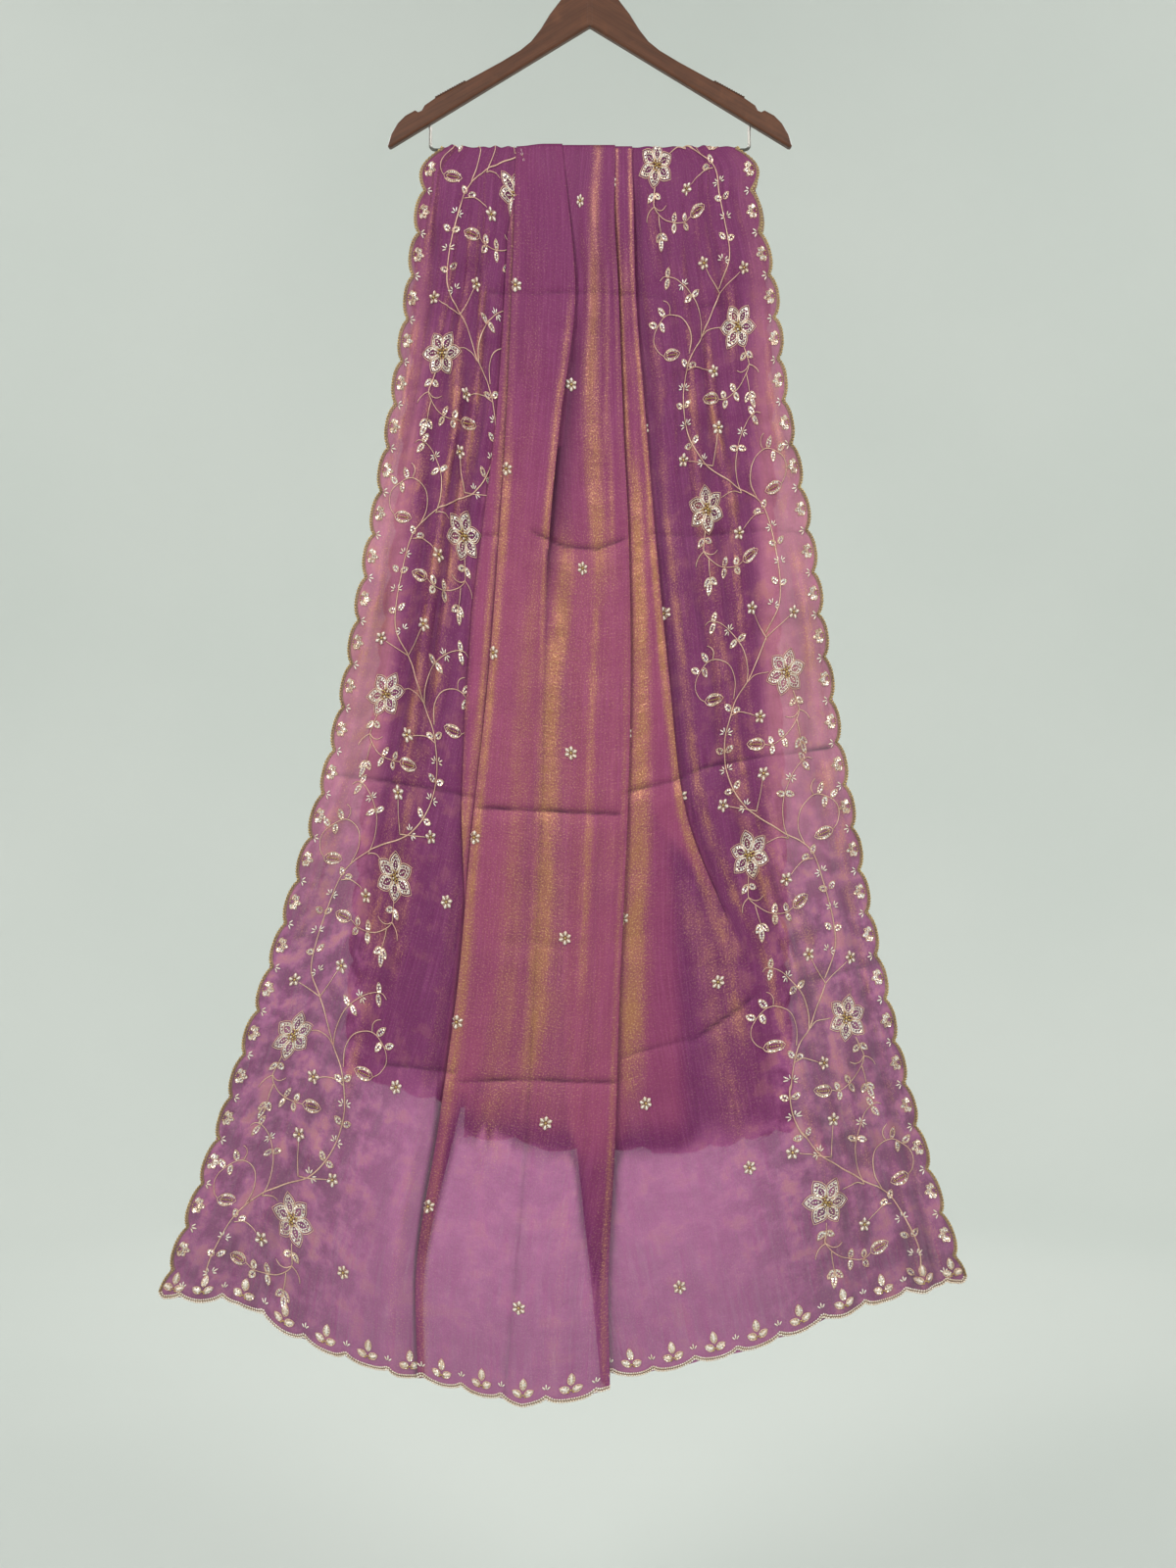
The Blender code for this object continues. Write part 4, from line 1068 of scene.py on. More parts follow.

# Painted copper sheen along the pleats: the column of the cloth table that each follows, how far beside it at
# the bar and at the hem in millimetres, half width there, the levels where it shows, and its strength.
COPPER_SHEEN_STREAKS = (
    ("panel_left", (3, 5), (3, 7), (0.03, 0.30), 0.40),
    ("panel_left", (4, 6), (6, 9), (0.24, 0.80), 0.85),
    ("panel_left", (-12, -24), (3, 7), (0.03, 0.62), 0.70),
    ("panel_left", (-4, -10), (4, 8), (0.24, 0.66), 0.75),
    ("dart", (-4, -7), (3, 12), (0.12, 0.44), 0.75),
    ("panel_left", (50, 60), (12, 26), (0.34, 0.82), 0.50),
    ("panel_right", (-38, -50), (12, 18), (-0.05, 0.37), 0.88),
    ("panel_right", (-86, -100), (12, 20), (0.31, 0.76), 0.88),
    ("panel_right", (-18, -26), (4, 6), (0.10, 0.36), 0.6),
    ("panel_right", (-42, -48), (5, 8), (0.31, 0.70), 0.7),
    ("panel_right", (-3, -4), (3, 4), (-0.05, 1.02), 0.55),
    ("pleat", (2, 10), (3, 6), (-0.05, 0.30), 0.85),
    ("pleat", (6, 22), (5, 22), (0.26, 0.78), 0.95),
    ("ridge", (-3, -4), (3, 6), (-0.05, 0.34), 0.85),
    ("ridge", (-4, -6), (4, 8), (0.28, 0.80), 0.9),
    ("ridge", (-24, -34), (8, 22), (0.62, 0.84), 0.45),
    ("under_right", (8, 14), (6, 10), (0.25, 0.90), 0.6),
    ("under_right", (42, 96), (5, 8), (0.28, 0.72), 0.6),
    ("under_right", (60, 70), (8, 26), (0.62, 0.90), 0.3),
    ("under_left", (-10, -150), (5, 9), (0.18, 0.84), 0.5),
    ("panel_left", (95, 95), (110, 110), (0.30, 0.80), 0.34),
    ("panel_left", (5, 6), (5, 8), (0.78, 1.02), 0.45),
)


def paint_copper_sheen(flat, slope, hollow, station):
    """How much painted copper sheen the cloth gets at each point: along rims, on crests and on slopes that
    turn away.
    """
    level = np.where(station <= 0, -station, station - TURN_SHARE)
    across = flat[..., 0] / MM
    light = SLOPE_LIGHT * smooth_step((np.abs(slope) - 0.16) / 0.42)
    light += CREST_LIGHT * smooth_step((-hollow - 0.15) / 0.7)
    light *= 1 - LOW_LIGHT_LOSS * smooth_step((level - 0.62) / 0.2)
    for side, table in ((station <= 0, FRONT_CLOTH), (station > 0, BACK_CLOTH)):
        levels = np.array([row[0] for row in table])
        for name, beside, half, (start, end), strength in COPPER_SHEEN_STREAKS:
            column = np.array([row[1][CLOTH_COLUMNS.index(name)] for row in table])
            middle = np.interp(level, levels, column) + beside[0] + (beside[1] - beside[0]) * level
            wide = half[0] + (half[1] - half[0]) * level
            near = np.exp(-(((across - middle) / wide) ** 2))
            shown = smooth_step((level - start) / 0.08 + 0.5) * smooth_step((end - level) / 0.12 + 0.5)
            light = np.where(side, np.maximum(light, strength * near * shown), light)
    return np.clip(light, 0.0, 1.0)


def tissue_finish(colours):
    """Sheer shot tissue: purple threads one way and copper threads the other, with a metal glint. Its colour
    carries painted light: a copper sheen, glints, single cloth painted lighter as if lit from behind, and
    painted shade where layers stack, beside folds, in hollows and crumples, and near the bar.
    """
    f = Finish("shot tissue")
    flat = f.attribute("flat_place", "Vector")
    # copper is the painted copper sheen worked out from the cloth's slopes, crests and pleat rims.
    copper, layers, shade = (f.attribute(name) for name in ("copper_light", "layer_count", "fold_shade"))
    streaks = f.noise(0.014, 3.0, 0.6, flat, (1.0, 0.10, 1.0))
    broken = f.noise(0.020, 4.0, 0.65, flat, (1.0, 0.45, 1.0))
    grain = f.noise(0.0019, 1.0, 0.7, flat)
    slub = f.noise(0.0022, 2.0, 0.6, flat, (1.0, 0.03, 1.0))
    cloud = f.noise(0.10, 3.0, 0.5, flat)
    place = f.node("SeparateXYZ", {}, {"Vector": flat})
    from_bar = abs(Value(f, place.socket.node.outputs[1]) - BAR_UP)
    from_middle = abs(place - CLOTH_WIDTH / 2)
    in_border = f.ranged(from_middle, 0.20, 0.36)
    patch = f.ranged(broken, 0.38, 0.62, 0.85 - 0.5 * in_border, 1.1)
    # The painted copper sheen, broken into streaks and speckle, sets the share of copper colour.
    share = copper * patch * (0.45 + 0.7 * streaks) + (grain - 0.5) * (0.35 + 1.0 * copper)
    copper_share = f.ranged(share + 0.10 * (cloud - 0.45), 0.04, 1.0)
    # Painted crumple shade and light: noise patches of deep purple and of light copper, across the cloth and
    # strongest low in the borders.
    crumple = f.noise(0.030, 4.0, 0.6, flat)
    low = f.ranged(from_bar, 0.70, 1.0)
    crumple_shade = f.ranged(
        crumple, 0.40, 0.60, 0.06 + 0.26 * in_border * low, 0.24 + in_border * (0.14 + 0.56 * low)
    )
    single = f.ranged(layers, 1.2, 2.2, 1.0, 0.35)
    crumple_light = f.ranged(crumple, 0.48, 0.34, 0.0, 0.15 + 0.25 * in_border) * single
    # Painted backlight: single cloth high in the borders is painted pinker.
    backlit_pink = in_border * (1 - low) * (1 - f.ranged(layers, 1.1, 2.0))
    # Painted backlight and shade: single cloth starts from the lighter purple, as if lit through from behind,
    # and stacked layers are painted darker.
    purple = f.layered(
        colours.purple_slub_and_backlit,
        (f.ranged(layers, 1.05, 2.2), colours.purple_clouds_and_shade),
        (crumple_shade, colours.purple_clouds_and_shade),
        (crumple_light, colours.copper_light),
        (backlit_pink * 0.34, colours.copper_light),
        (f.ranged(layers, 2.2, 4.2), colours.purple),
        # Painted shade near the bar; the coat after it makes the cloth darker towards the hems.
        (f.ranged(from_bar, 0.10, 0.55, 0.85, 0.0), colours.purple_clouds_and_shade),
        (f.ranged(from_bar, 1.18, 1.34, 0.0, 0.35), colours.purple_clouds_and_shade),
        (f.ranged(slub, 0.40, 0.75, 0.0, 0.14), colours.purple_slub_and_backlit),
        (f.ranged(cloud, 0.52, 0.75, 0.0, 0.30), colours.purple_clouds_and_shade),
    )
    # Colour of the painted copper sheen: lighter on single cloth, darker where layers stack.
    metal = f.layered(
        colours.copper_light,
        (f.ranged(layers, 1.0, 3.2), colours.copper),
        # Painted shade: the copper sheen is dimmed near the bar.
        (f.ranged(from_bar, 0.08, 0.42, 0.42, 0.0), colours.purple_clouds_and_shade),
    )
    glint = f.ranged(grain, 0.52, 0.74)
    body = f.layered(
        purple, (copper_share, metal), (glint * (0.08 + 0.34 * copper_share), colours.glint),
        # Painted shade beside folds, along creases and in hollows.
        (f.ranged(shade, 0.0, 1.0, 0.0, 0.80), colours.painted_fold_shade),
    )
    threads = f.node(
        "TexWave", {"wave_type": "BANDS", "bands_direction": "X"},
        {"Vector": flat, "Scale": 420.0, "Distortion": 2.0, "Detail": 1.0},
    )
    crinkle = f.noise(0.009, 3.0, 0.6, flat, (0.55, 1.0, 1.0))
    weave = f.bump(threads * 0.3 + grain * 0.9 + slub * 0.5, 0.4, 0.0006, f.bump(crinkle, 0.5, 0.0022))
    f.surface(
        base_color=body, metallic=0.12 + 0.40 * copper_share, roughness=0.60 - 0.2 * copper_share,
        alpha=f.ranged(slub + copper_share * 0.2, 0.1, 0.9, colours.cover - 0.05, colours.cover + 0.06),
        normal=weave, specular_ior_level=0.3,
    )
    return f.material


def thread_finish(name, low, high, metallic, roughness):
    """Twisted metallic thread or cord between two shades."""
    f = Finish(name)
    twist = f.noise(0.0016, 2.0, 0.6)
    shade = f.noise(0.03, 2.0, 0.5)
    colour = f.mix(f.ranged(twist * 0.7 + shade * 0.3, 0.3, 0.7), low, high)
    f.surface(base_color=colour, metallic=metallic, roughness=roughness + 0.15 * twist,
              normal=f.bump(twist, 0.5, 0.0005))
    return f.material


def sequin_finish(colours):
    """Silvery sequins, each with its own shade."""
    f = Finish("sequins")
    place = f.node("TexCoord", out="Object")
    cell = f.node("TexVoronoi", {"feature": "F1"}, {"Scale": 480.0, "Vector": place}, 1)
    shade = f.node("SeparateColor", {}, {"Color": cell})
    colour = f.mix(f.ranged(shade, 0.2, 0.9), colours.champagne, colours.silver)
    f.surface(base_color=colour, metallic=0.5, roughness=0.2 + 0.2 * shade)
    return f.material


def wood_finish(colours):
    """Dark stained wood under satin varnish, its grain running along the arm."""
    f = Finish("stained wood")
    place = f.node("TexCoord", out="Object")
    folded = f.node("VectorMath", {"operation": "ABSOLUTE"}, {0: place})
    turned = f.node(
        "Mapping", {"vector_type": "POINT"}, {"Vector": folded, "Rotation": (0.0, math.radians(30), 0.0)}
    )
    grain = f.noise(0.0025, 5.0, 0.62, turned, (0.045, 1.0, 1.0))
    fine = f.noise(0.0008, 3.0, 0.6, turned, (0.03, 1.0, 1.0))
    worn = f.noise(0.025, 3.0, 0.6, place)
    shade = f.ranged(grain * 0.7 + fine * 0.3, 0.25, 0.70)
    wood = f.mix(shade, colours.wood_dark, colours.wood)
    wood = f.mix(f.ranged(worn, 0.5, 0.8, 0.0, 0.5), wood, colours.wood_light)
    f.surface(
        base_color=wood, roughness=0.36 + 0.16 * grain, coat_weight=0.15, coat_roughness=0.25,
        specular_ior_level=0.3, normal=f.bump(grain * 0.6 + fine * 0.4, 0.08, 0.0005),
    )
    return f.material


def rubber_finish(colours):
    """Matt brown anti-slip rubber."""
    f = Finish("grip rubber")
    dust = f.noise(0.003, 3.0, 0.6)
    colour = f.mix(f.ranged(dust, 0.35, 0.75), colours.wood_dark, colours.wood)
    f.surface(base_color=colour, roughness=0.6 + 0.25 * dust, normal=f.bump(dust, 0.25, 0.0004))
    return f.material


def steel_finish(colours):
    """Bright plated wire, slightly drawn along its length."""
    f = Finish("bright wire")
    drawn = f.noise(0.002, 3.0, 0.6, None, (1.0, 1.0, 0.1))
    colour = f.mix(f.ranged(drawn, 0.3, 0.7), colours.steel, colours.steel_dull)
    f.surface(
        base_color=colour, metallic=1.0, roughness=0.28 + 0.16 * drawn, normal=f.bump(drawn, 0.06, 0.0003)
    )
    return f.material


def wall_finish(colours):
    """Plain matt paint for the floor and the sweep behind."""
    f = Finish("stage paint")
    cloud = f.noise(1.4, 2.0, 0.5)
    colour = f.mix(f.ranged(cloud, 0.3, 0.7), colours.wall, colours.wall_shade)
    f.surface(base_color=colour, roughness=0.9)
    return f.material


def scallop(lobe):
    """How far the scalloped edge stands out of the straight cloth, lobes counted along it."""
    swing = np.sqrt(np.abs(np.sin(math.pi * np.asarray(lobe, dtype=float))))
    return SCALLOP_NECK + (SCALLOP_DEEP - SCALLOP_NECK) * swing


def even_line(points, step):
    """The same line with its points a step apart."""
    points = np.asarray(points, dtype=float)
    lengths = np.concatenate(((0.0,), np.cumsum(np.linalg.norm(np.diff(points, axis=0), axis=1))))
    places = np.linspace(0.0, lengths[-1], max(2, int(round(lengths[-1] / step)) + 1))
    return np.column_stack([np.interp(places, lengths, axis) for axis in points.T])


def side_reach(sheet, up, edge_across):
    """How far a side's lobes stand out at a height up from the front hem, in millimetres."""
    front, back = FRONT.drop(edge_across) / MM, BACK.drop(edge_across) / MM
    over = (sheet.turn_length() / MM) / 2
    lobe = np.where(
        up < front + over,
        (1 - up / (front + over)) * SIDE_SCALLOPS_FRONT,
        (up - front - over) / (back + over) * SIDE_SCALLOPS_BACK,
    )
    return scallop(lobe) / MM


def side_outline(sheet, edge_across):
    """A side's scalloped edge as places in from the edge, from the front hem's corner to the back's."""
    total = sheet.length(np.array(edge_across)) / MM
    up = np.linspace(0.0, total, int(total / OUTLINE_STEP))
    return np.column_stack((SCALLOP_MM - side_reach(sheet, up, edge_across), up))


def hem_outline(sheet, back):
    """A hem's scalloped edge in flat places, from its left corner to its right corner."""
    across = np.linspace(SCALLOP_MM, WIDTH_MM - SCALLOP_MM, int(WIDTH_MM / OUTLINE_STEP))
    hang = scallop(across * MM / CLOTH_WIDTH * HEM_SCALLOPS + 0.5) / MM
    if back:
        return np.column_stack((across, sheet.length_mm(across) + hang))
    return np.column_stack((across, -hang))


def corner_round(across, up, start):
    """A corner lobe's quarter circle in flat places."""
    angles = np.radians(np.linspace(start, start + 90, 8)[1:-1])
    return np.column_stack((across + SCALLOP_MM * np.cos(angles), up + SCALLOP_MM * np.sin(angles)))


def whole_outline(sheet):
    """The cloth's scalloped edge all round, anticlockwise from the front hem's left corner."""
    left = side_outline(sheet, 0.0)
    right = side_outline(sheet, CLOTH_WIDTH) * (-1, 1) + (WIDTH_MM, 0)
    inner = WIDTH_MM - SCALLOP_MM
    return np.concatenate((
        corner_round(SCALLOP_MM, 0.0, 180), hem_outline(sheet, False),
        corner_round(inner, 0.0, 270), right,
        corner_round(inner, right[-1, 1], 0), hem_outline(sheet, True)[::-1],
        corner_round(SCALLOP_MM, left[-1, 1], 90), left[::-1],
    ))


def inward(line, distance):
    """A closed anticlockwise flat line moved into the cloth; the distance may change along it."""
    ahead = np.roll(line, -2, axis=0) - np.roll(line, 2, axis=0)
    size = np.hypot(ahead[:, 0], ahead[:, 1])
    left = np.column_stack((-ahead[:, 1], ahead[:, 0])) / size[:, None]
    return line + left * np.reshape(distance, (-1, 1))


# The border's stitching. It repeats along each side, an outer flower and an inner flower by turns.
# Places are millimetres up from the outer flower's middle and in from the side edge.
BORDER_PERIOD = {-1: 376.5, 1: 381.0}
OUTER_FLOWER = {-1: (286.0, 62.0), 1: (296.0, 62.0)}
INNER_FLOWER = {-1: (107.0, 132.0), 1: (117.0, 142.0)}
MIRROR_SUM = 206.0
MAIN_VINE = (
    (43, 82), (24, 98), (3, 116), (-12, 134), (-31, 145), (-52, 153), (-80, 155), (-106, 149), (-127, 138),
    (-140, 126), (-156, 108), (-170, 93), (-183, 75), (-200, 62), (-230, 56), (-275, 54), (-307, 60),
    (-333, 82),
)
HEM_START = ((-286, 52), (-258, 46), (-228, 50), (-200, 60), (-183, 75))

# Pieces that hang on the vine, for an outer flower; an inner flower has them mirrored.
BRANCHES = (
    ((-9, 136), (9, 131), (27, 136), (38, 150), (40, 164), (30, 180), (18, 185), (6, 181), (-1, 174)),
    ((41, 157), (48, 155), (54, 158), (57, 163)),
    ((3, 116), (20, 113), (43, 117), (64, 130), (77, 144), (82, 156), (79, 163)),
    ((43, 82), (60, 90), (74, 95)),
    ((43, 82), (50, 66), (58, 48)),
    ((-26, 143), (-25, 131), (-30, 119), (-35, 111)),
)
BRANCH_FLOWERS = ((80, 97), (61, 41), (-38, 104))
OVAL_LEAVES = (((-1, 174), (-4, 149)),)
LOOP_LEAVES = (((40, 164), (52, 172)), ((33, 178), (40, 188)), ((36, 172), (24, 168)))
BRANCH_LEAVES = (
    ((50, 121), (55, 110)), ((52, 122), (46, 133)), ((80, 152), (90, 147)), ((79, 150), (68, 157)),
)
BRANCH_SPRIGS = (((65, 131), (73, 124)), ((66, 132), (59, 141)))
VINE_LEAF_PAIRS = (-22, -64, -106)
VINE_SPRIG_PAIRS = (-43, -85, -128)
VINE_TO_FLOWER = ((3, 116), (8, 104), (6, 90))

# Pieces under a flower: millimetres up from its middle and in from it, for an outer flower.
UNDER_STEMS = (
    ((-22, -6), (-34, -9), (-44, -11), (-54, -5), (-64, 6), (-70, 19), (-72, 31), (-69, 40)),
    ((-54, -6), (-64, -7), (-74, -7)),
    ((-44, -11), (-47, -17), (-52, -22), (-57, -24)),
    ((-44, -11), (-49, -5), (-50, 2), (-47, 8)),
)
UNDER_LEAVES = (
    ((-30, -9), (-38, -18)), ((-31, -8), (-37, 1)), ((-68, 14), (-58, 19)), ((-69, 15), (-80, 11)),
    ((-71, 30), (-62, 33)), ((-73, 29), (-82, 33)), ((-74, -7), (-82, -16)), ((-74, -7), (-84, 1)),
    ((-78, -8), (-93, -12)),
)
UNDER_OVAL = ((-69, 40), (-62, 63))
HEM_CLEAR = 11.0
VINE_CLEAR = 7.0
MOTIF_CLEAR = 18.0
FIELD_CLEAR = 40.0
VINE_RADIUS = 0.78
BRANCH_RADIUS = 0.66
BRANCH_END = 0.72
BIG_FLOWER = 26.5
SMALL_FLOWER = 7.6

# Columns of small flowers over the field: across, and up to the first one.
FIELD_COLUMNS = ((205, 84), (314, 185), (429, 98), (541, 179), (652, 77), (756, 179))
FIELD_ROW = 203.0


def smooth_line(points, step=3.2):
    """A smooth flat curve through the points, with its own points about a step apart."""
    points = np.asarray(points, dtype=float)
    if len(points) < 3:
        return even_line(points, step)
    padded = np.concatenate((2 * points[:1] - points[1:2], points, 2 * points[-1:] - points[-2:-1]))
    shares = np.linspace(0, 1, 9)[:-1, None]
    parts = []
    for a, b, c, d in zip(padded, padded[1:], padded[2:], padded[3:]):
        parts.append(0.5 * (
            2 * b + (c - a) * shares + (2 * a - 5 * b + 4 * c - d) * shares**2
            + (3 * b - a - 3 * c + d) * shares**3
        ))
    return even_line(np.concatenate((*parts, points[-1:])), step)


class BorderSpot:
    """Where one flower of a border stands, and the way from its own places to flat places."""

    def __init__(self, side, inner, count):
        self.side = side
        self.inner = inner
        up, self.in_from_edge = (INNER_FLOWER if inner else OUTER_FLOWER)[side]
        self.up = up + BORDER_PERIOD[side] * count

    def flat(self, points, mirrored=True):
        """Flat places (across, up) for places given up from the flower and in from the edge."""
        up, inward_by = np.asarray(points, dtype=float).T
        if self.inner and mirrored:
            inward_by = MIRROR_SUM - inward_by
        across = inward_by if self.side < 0 else WIDTH_MM - inward_by
        return np.column_stack((across, self.up + up))

    def under(self, points):
        """Flat places for pieces under the flower, given up from it and in from it."""
        up, beside = np.asarray(points, dtype=float).T
        if self.inner:
            beside = -beside
        return self.flat(np.column_stack((up, self.in_from_edge + beside)), mirrored=False)

    def middle(self):
        return self.flat(((0.0, self.in_from_edge),), mirrored=False)[0]


def border_spots(sheet):
    """Every flower place of both borders, from hem to hem."""
    spots = []
    for side in (-1, 1):
        for count in range(7):
            for inner in (True, False):
                spot = BorderSpot(side, inner, count)
                if fits(sheet, spot.middle()[None]):
                    spots.append(spot)
    return spots


def fits(sheet, line, clear=HEM_CLEAR):
    """True when every flat point lies clear of both hems."""
    total = sheet.length_mm(line[:, 0])
    return bool(np.all(line[:, 1] > clear) and np.all(line[:, 1] < total - clear))


def main_vine(side, count):
    """One repeat of the vine along a side, in flat places."""
    spot = BorderSpot(side, False, count)
    if count == 0:
        kept = [place for place in MAIN_VINE if place[0] > -190]
        return spot.flat(kept + list(HEM_START[::-1]))
    return spot.flat(MAIN_VINE)


def heading(angle):
    return np.array((math.cos(angle), math.sin(angle)))


def base_and_ways(base, tip):
    """The base as an array, the way from it to the tip, and a way beside that of length 1."""
    base = np.asarray(base, dtype=float)
    along = np.asarray(tip, dtype=float) - base
    return base, along, np.array((along[1], -along[0])) / np.hypot(*along)


def leaf_outline(base, tip, width, steps=6):
    """A pointed oval from base to tip, as a closed flat line."""
    base, along, beside = base_and_ways(base, tip)
    shares = np.linspace(0, 1, steps + 1)
    half = width / 2 * np.sin(math.pi * shares**0.85) ** 0.75
    half[[0, -1]] = 0.0
    one = base + np.outer(shares, along) + np.outer(half, beside)
    other = base + np.outer(shares, along) - np.outer(half, beside)
    return np.concatenate((one, other[-2:0:-1]))


def sew_leaf(work, base, tip, width=6.6, outline=0.55, sequin=1.35):
    """A small leaf: a cord outline filled with sequins."""
    work.tube(leaf_outline(base, tip, width), outline, 0.55, 0, closed=True)
    base, along, beside = base_and_ways(base, tip)
    rows = max(2, int(np.hypot(*along) / 2.9))
    for row in range(rows):
        share = (row + 0.9) / (rows + 0.8)
        half = width / 2 * math.sin(math.pi * share**0.85) ** 0.75 - outline - sequin * 0.55
        tilt = (base[0] * 3.1 + base[1] * 1.7 + row * 2.3) % 6.28
        for lane in ((0.0,) if half < 0.7 else (-1.0, 1.0)):
            place = base + along * share + beside * lane * max(0.0, half)
            work.sequin(place, sequin, 0.7, tilt + lane, 1)


def sew_oval_leaf(work, base, tip):
    """The large leaf at the end of a tendril: two outlines, a beaded rib and sequins."""
    base, along, beside = base_and_ways(base, tip)
    work.tube(leaf_outline(base, tip, 13.0, 9), 0.6, 0.6, 0, closed=True)
    work.tube(leaf_outline(base + along * 0.14, base + along * 0.86, 7.4, 7), 0.5, 0.55, 0, closed=True)
    for share in np.linspace(0.24, 0.76, 6):
        work.bead(base + along * share, 1.0, 2)
    for share in np.linspace(0.2, 0.84, 7):
        half = 5.1 * math.sin(math.pi * share) ** 0.6
        for lane in (-1, 1):
            work.sequin(base + along * share + beside * lane * half, 1.25, 0.6, share * 9 + lane, 1)


def sew_sprig(work, base, toward, size=6.0, radius=0.85):
    """Three short fat stitches that spread from one point."""
    base, toward = np.asarray(base, dtype=float), np.asarray(toward, dtype=float)
    along = (toward - base) / np.hypot(*(toward - base))
    beside = np.array((along[1], -along[0]))
    for lean, share in ((-0.72, 0.8), (0.0, 1.0), (0.72, 0.8)):
        way = along * math.cos(lean) + beside * math.sin(lean)
        start = base + way * size * 0.28
        line = np.array([start + way * size * share * t for t in (0.0, 0.3, 0.75, 1.0)])
        work.tube(line, radius * np.array((0.45, 0.95, 1.0, 0.4)), radius * 0.9, 3, sides=5)


def sew_small_flower(work, middle, size, petals, turn):
    """A small flower: outlined petals with bright stitches round a gold bead."""
    middle = np.asarray(middle, dtype=float)
    for petal in range(petals):
        way = heading(turn + 2 * math.pi * petal / petals)
        base, tip = middle + way * 1.9, middle + way * size
        work.tube(leaf_outline(base, tip, size * 0.62, 4), 0.42, 0.6, 0, closed=True, sides=3)
        stitch = np.array([base + (tip - base) * t for t in (0.08, 0.4, 0.75, 0.97)])
        work.tube(stitch, np.array((0.5, 1.5, 1.75, 0.6)) * size / 8.0, 0.9, 3, sides=5)
    work.bead(middle, 1.7, 2, 1.3)


def sew_big_flower(work, middle, radius, turn):
    """A big flower: six pointed petals of beaded silver rows in a cord outline, and a gold cluster."""
    middle = np.asarray(middle, dtype=float)
    for petal in range(6):
        way = heading(turn + math.pi * petal / 3)
        beside = np.array((way[1], -way[0]))
        reach = radius * (1.0 + 0.04 * math.sin(petal * 2.4 + turn * 9))
        work.tube(petal_line(middle, way, 4.5, reach, 8.4), 0.5, 0.6, 0, closed=True)
        for end, half, high in ((0.90, 6.4, 0.85), (0.72, 4.2, 1.0)):
            row = even_line(petal_line(middle, way, 5.5, reach * end, half, 12), 1.25)
            beaded = 0.36 + 0.36 * (np.arange(len(row)) % 2)
            work.tube(row[:-1], beaded[:-1], high, 4, closed=True)
        for share in (0.34, 0.44, 0.54):
            work.bead(middle + way * reach * share, 1.0, 4, 1.2)
        for share, half in ((0.33, 3.1), (0.45, 5.2), (0.57, 5.0), (0.69, 3.4), (0.80, 0.9)):
            for lane in (-1, 1):
                place = middle + way * reach * share + beside * lane * half
                work.sequin(place, 1.2, 0.9, share * 17 + lane + petal, 1)
    for ring, count, size, high in ((6.0, 10, 1.25, 1.4), (3.2, 6, 1.5, 1.9)):
        for step in range(count):
            place = middle + heading(turn + 2 * math.pi * step / count) * ring
            work.bead(place, size, 2 if step % 3 else 4, high)
    work.bead(middle, 1.9, 2, 2.4)


def petal_line(middle, way, start, reach, half, steps=7):
    """The outline of a pointed petal, widest about its middle, as a closed flat line."""
    beside = np.array((way[1], -way[0]))
    shares = np.linspace(0, 1, steps + 1)
    wide = half * np.sin(math.pi * shares**0.92) ** 0.95
    wide[0], wide[-1] = half * 0.12, 0.0
    spine = middle + np.outer(start + (reach - start) * shares, way)
    one, other = spine + np.outer(wide, beside), spine - np.outer(wide, beside)
    return np.concatenate((one, other[-2::-1]))


def colour_property(name, description, default):
    return bpy.props.FloatVectorProperty(
        name=name, description=description, default=default, size=3, min=0.0, max=1.0, subtype="COLOR_GAMMA"
    )


def length_property(name, description, default, **limits):
    return bpy.props.FloatProperty(
        name=name, description=description, default=default, unit="LENGTH", **limits
    )


class StoleClothSettings(bpy.types.PropertyGroup):
    """Sizes of the hanging cloth's relief."""

    crease_high: length_property(
        "Crease depth", "Depth of the packing creases", 0.0038, min=0.0, max=0.006, precision=4
    )
    wrinkle_high: length_property(
        "Wrinkle height", "Height of the small crumples", 0.0017, min=0.0, max=0.003, precision=4
    )


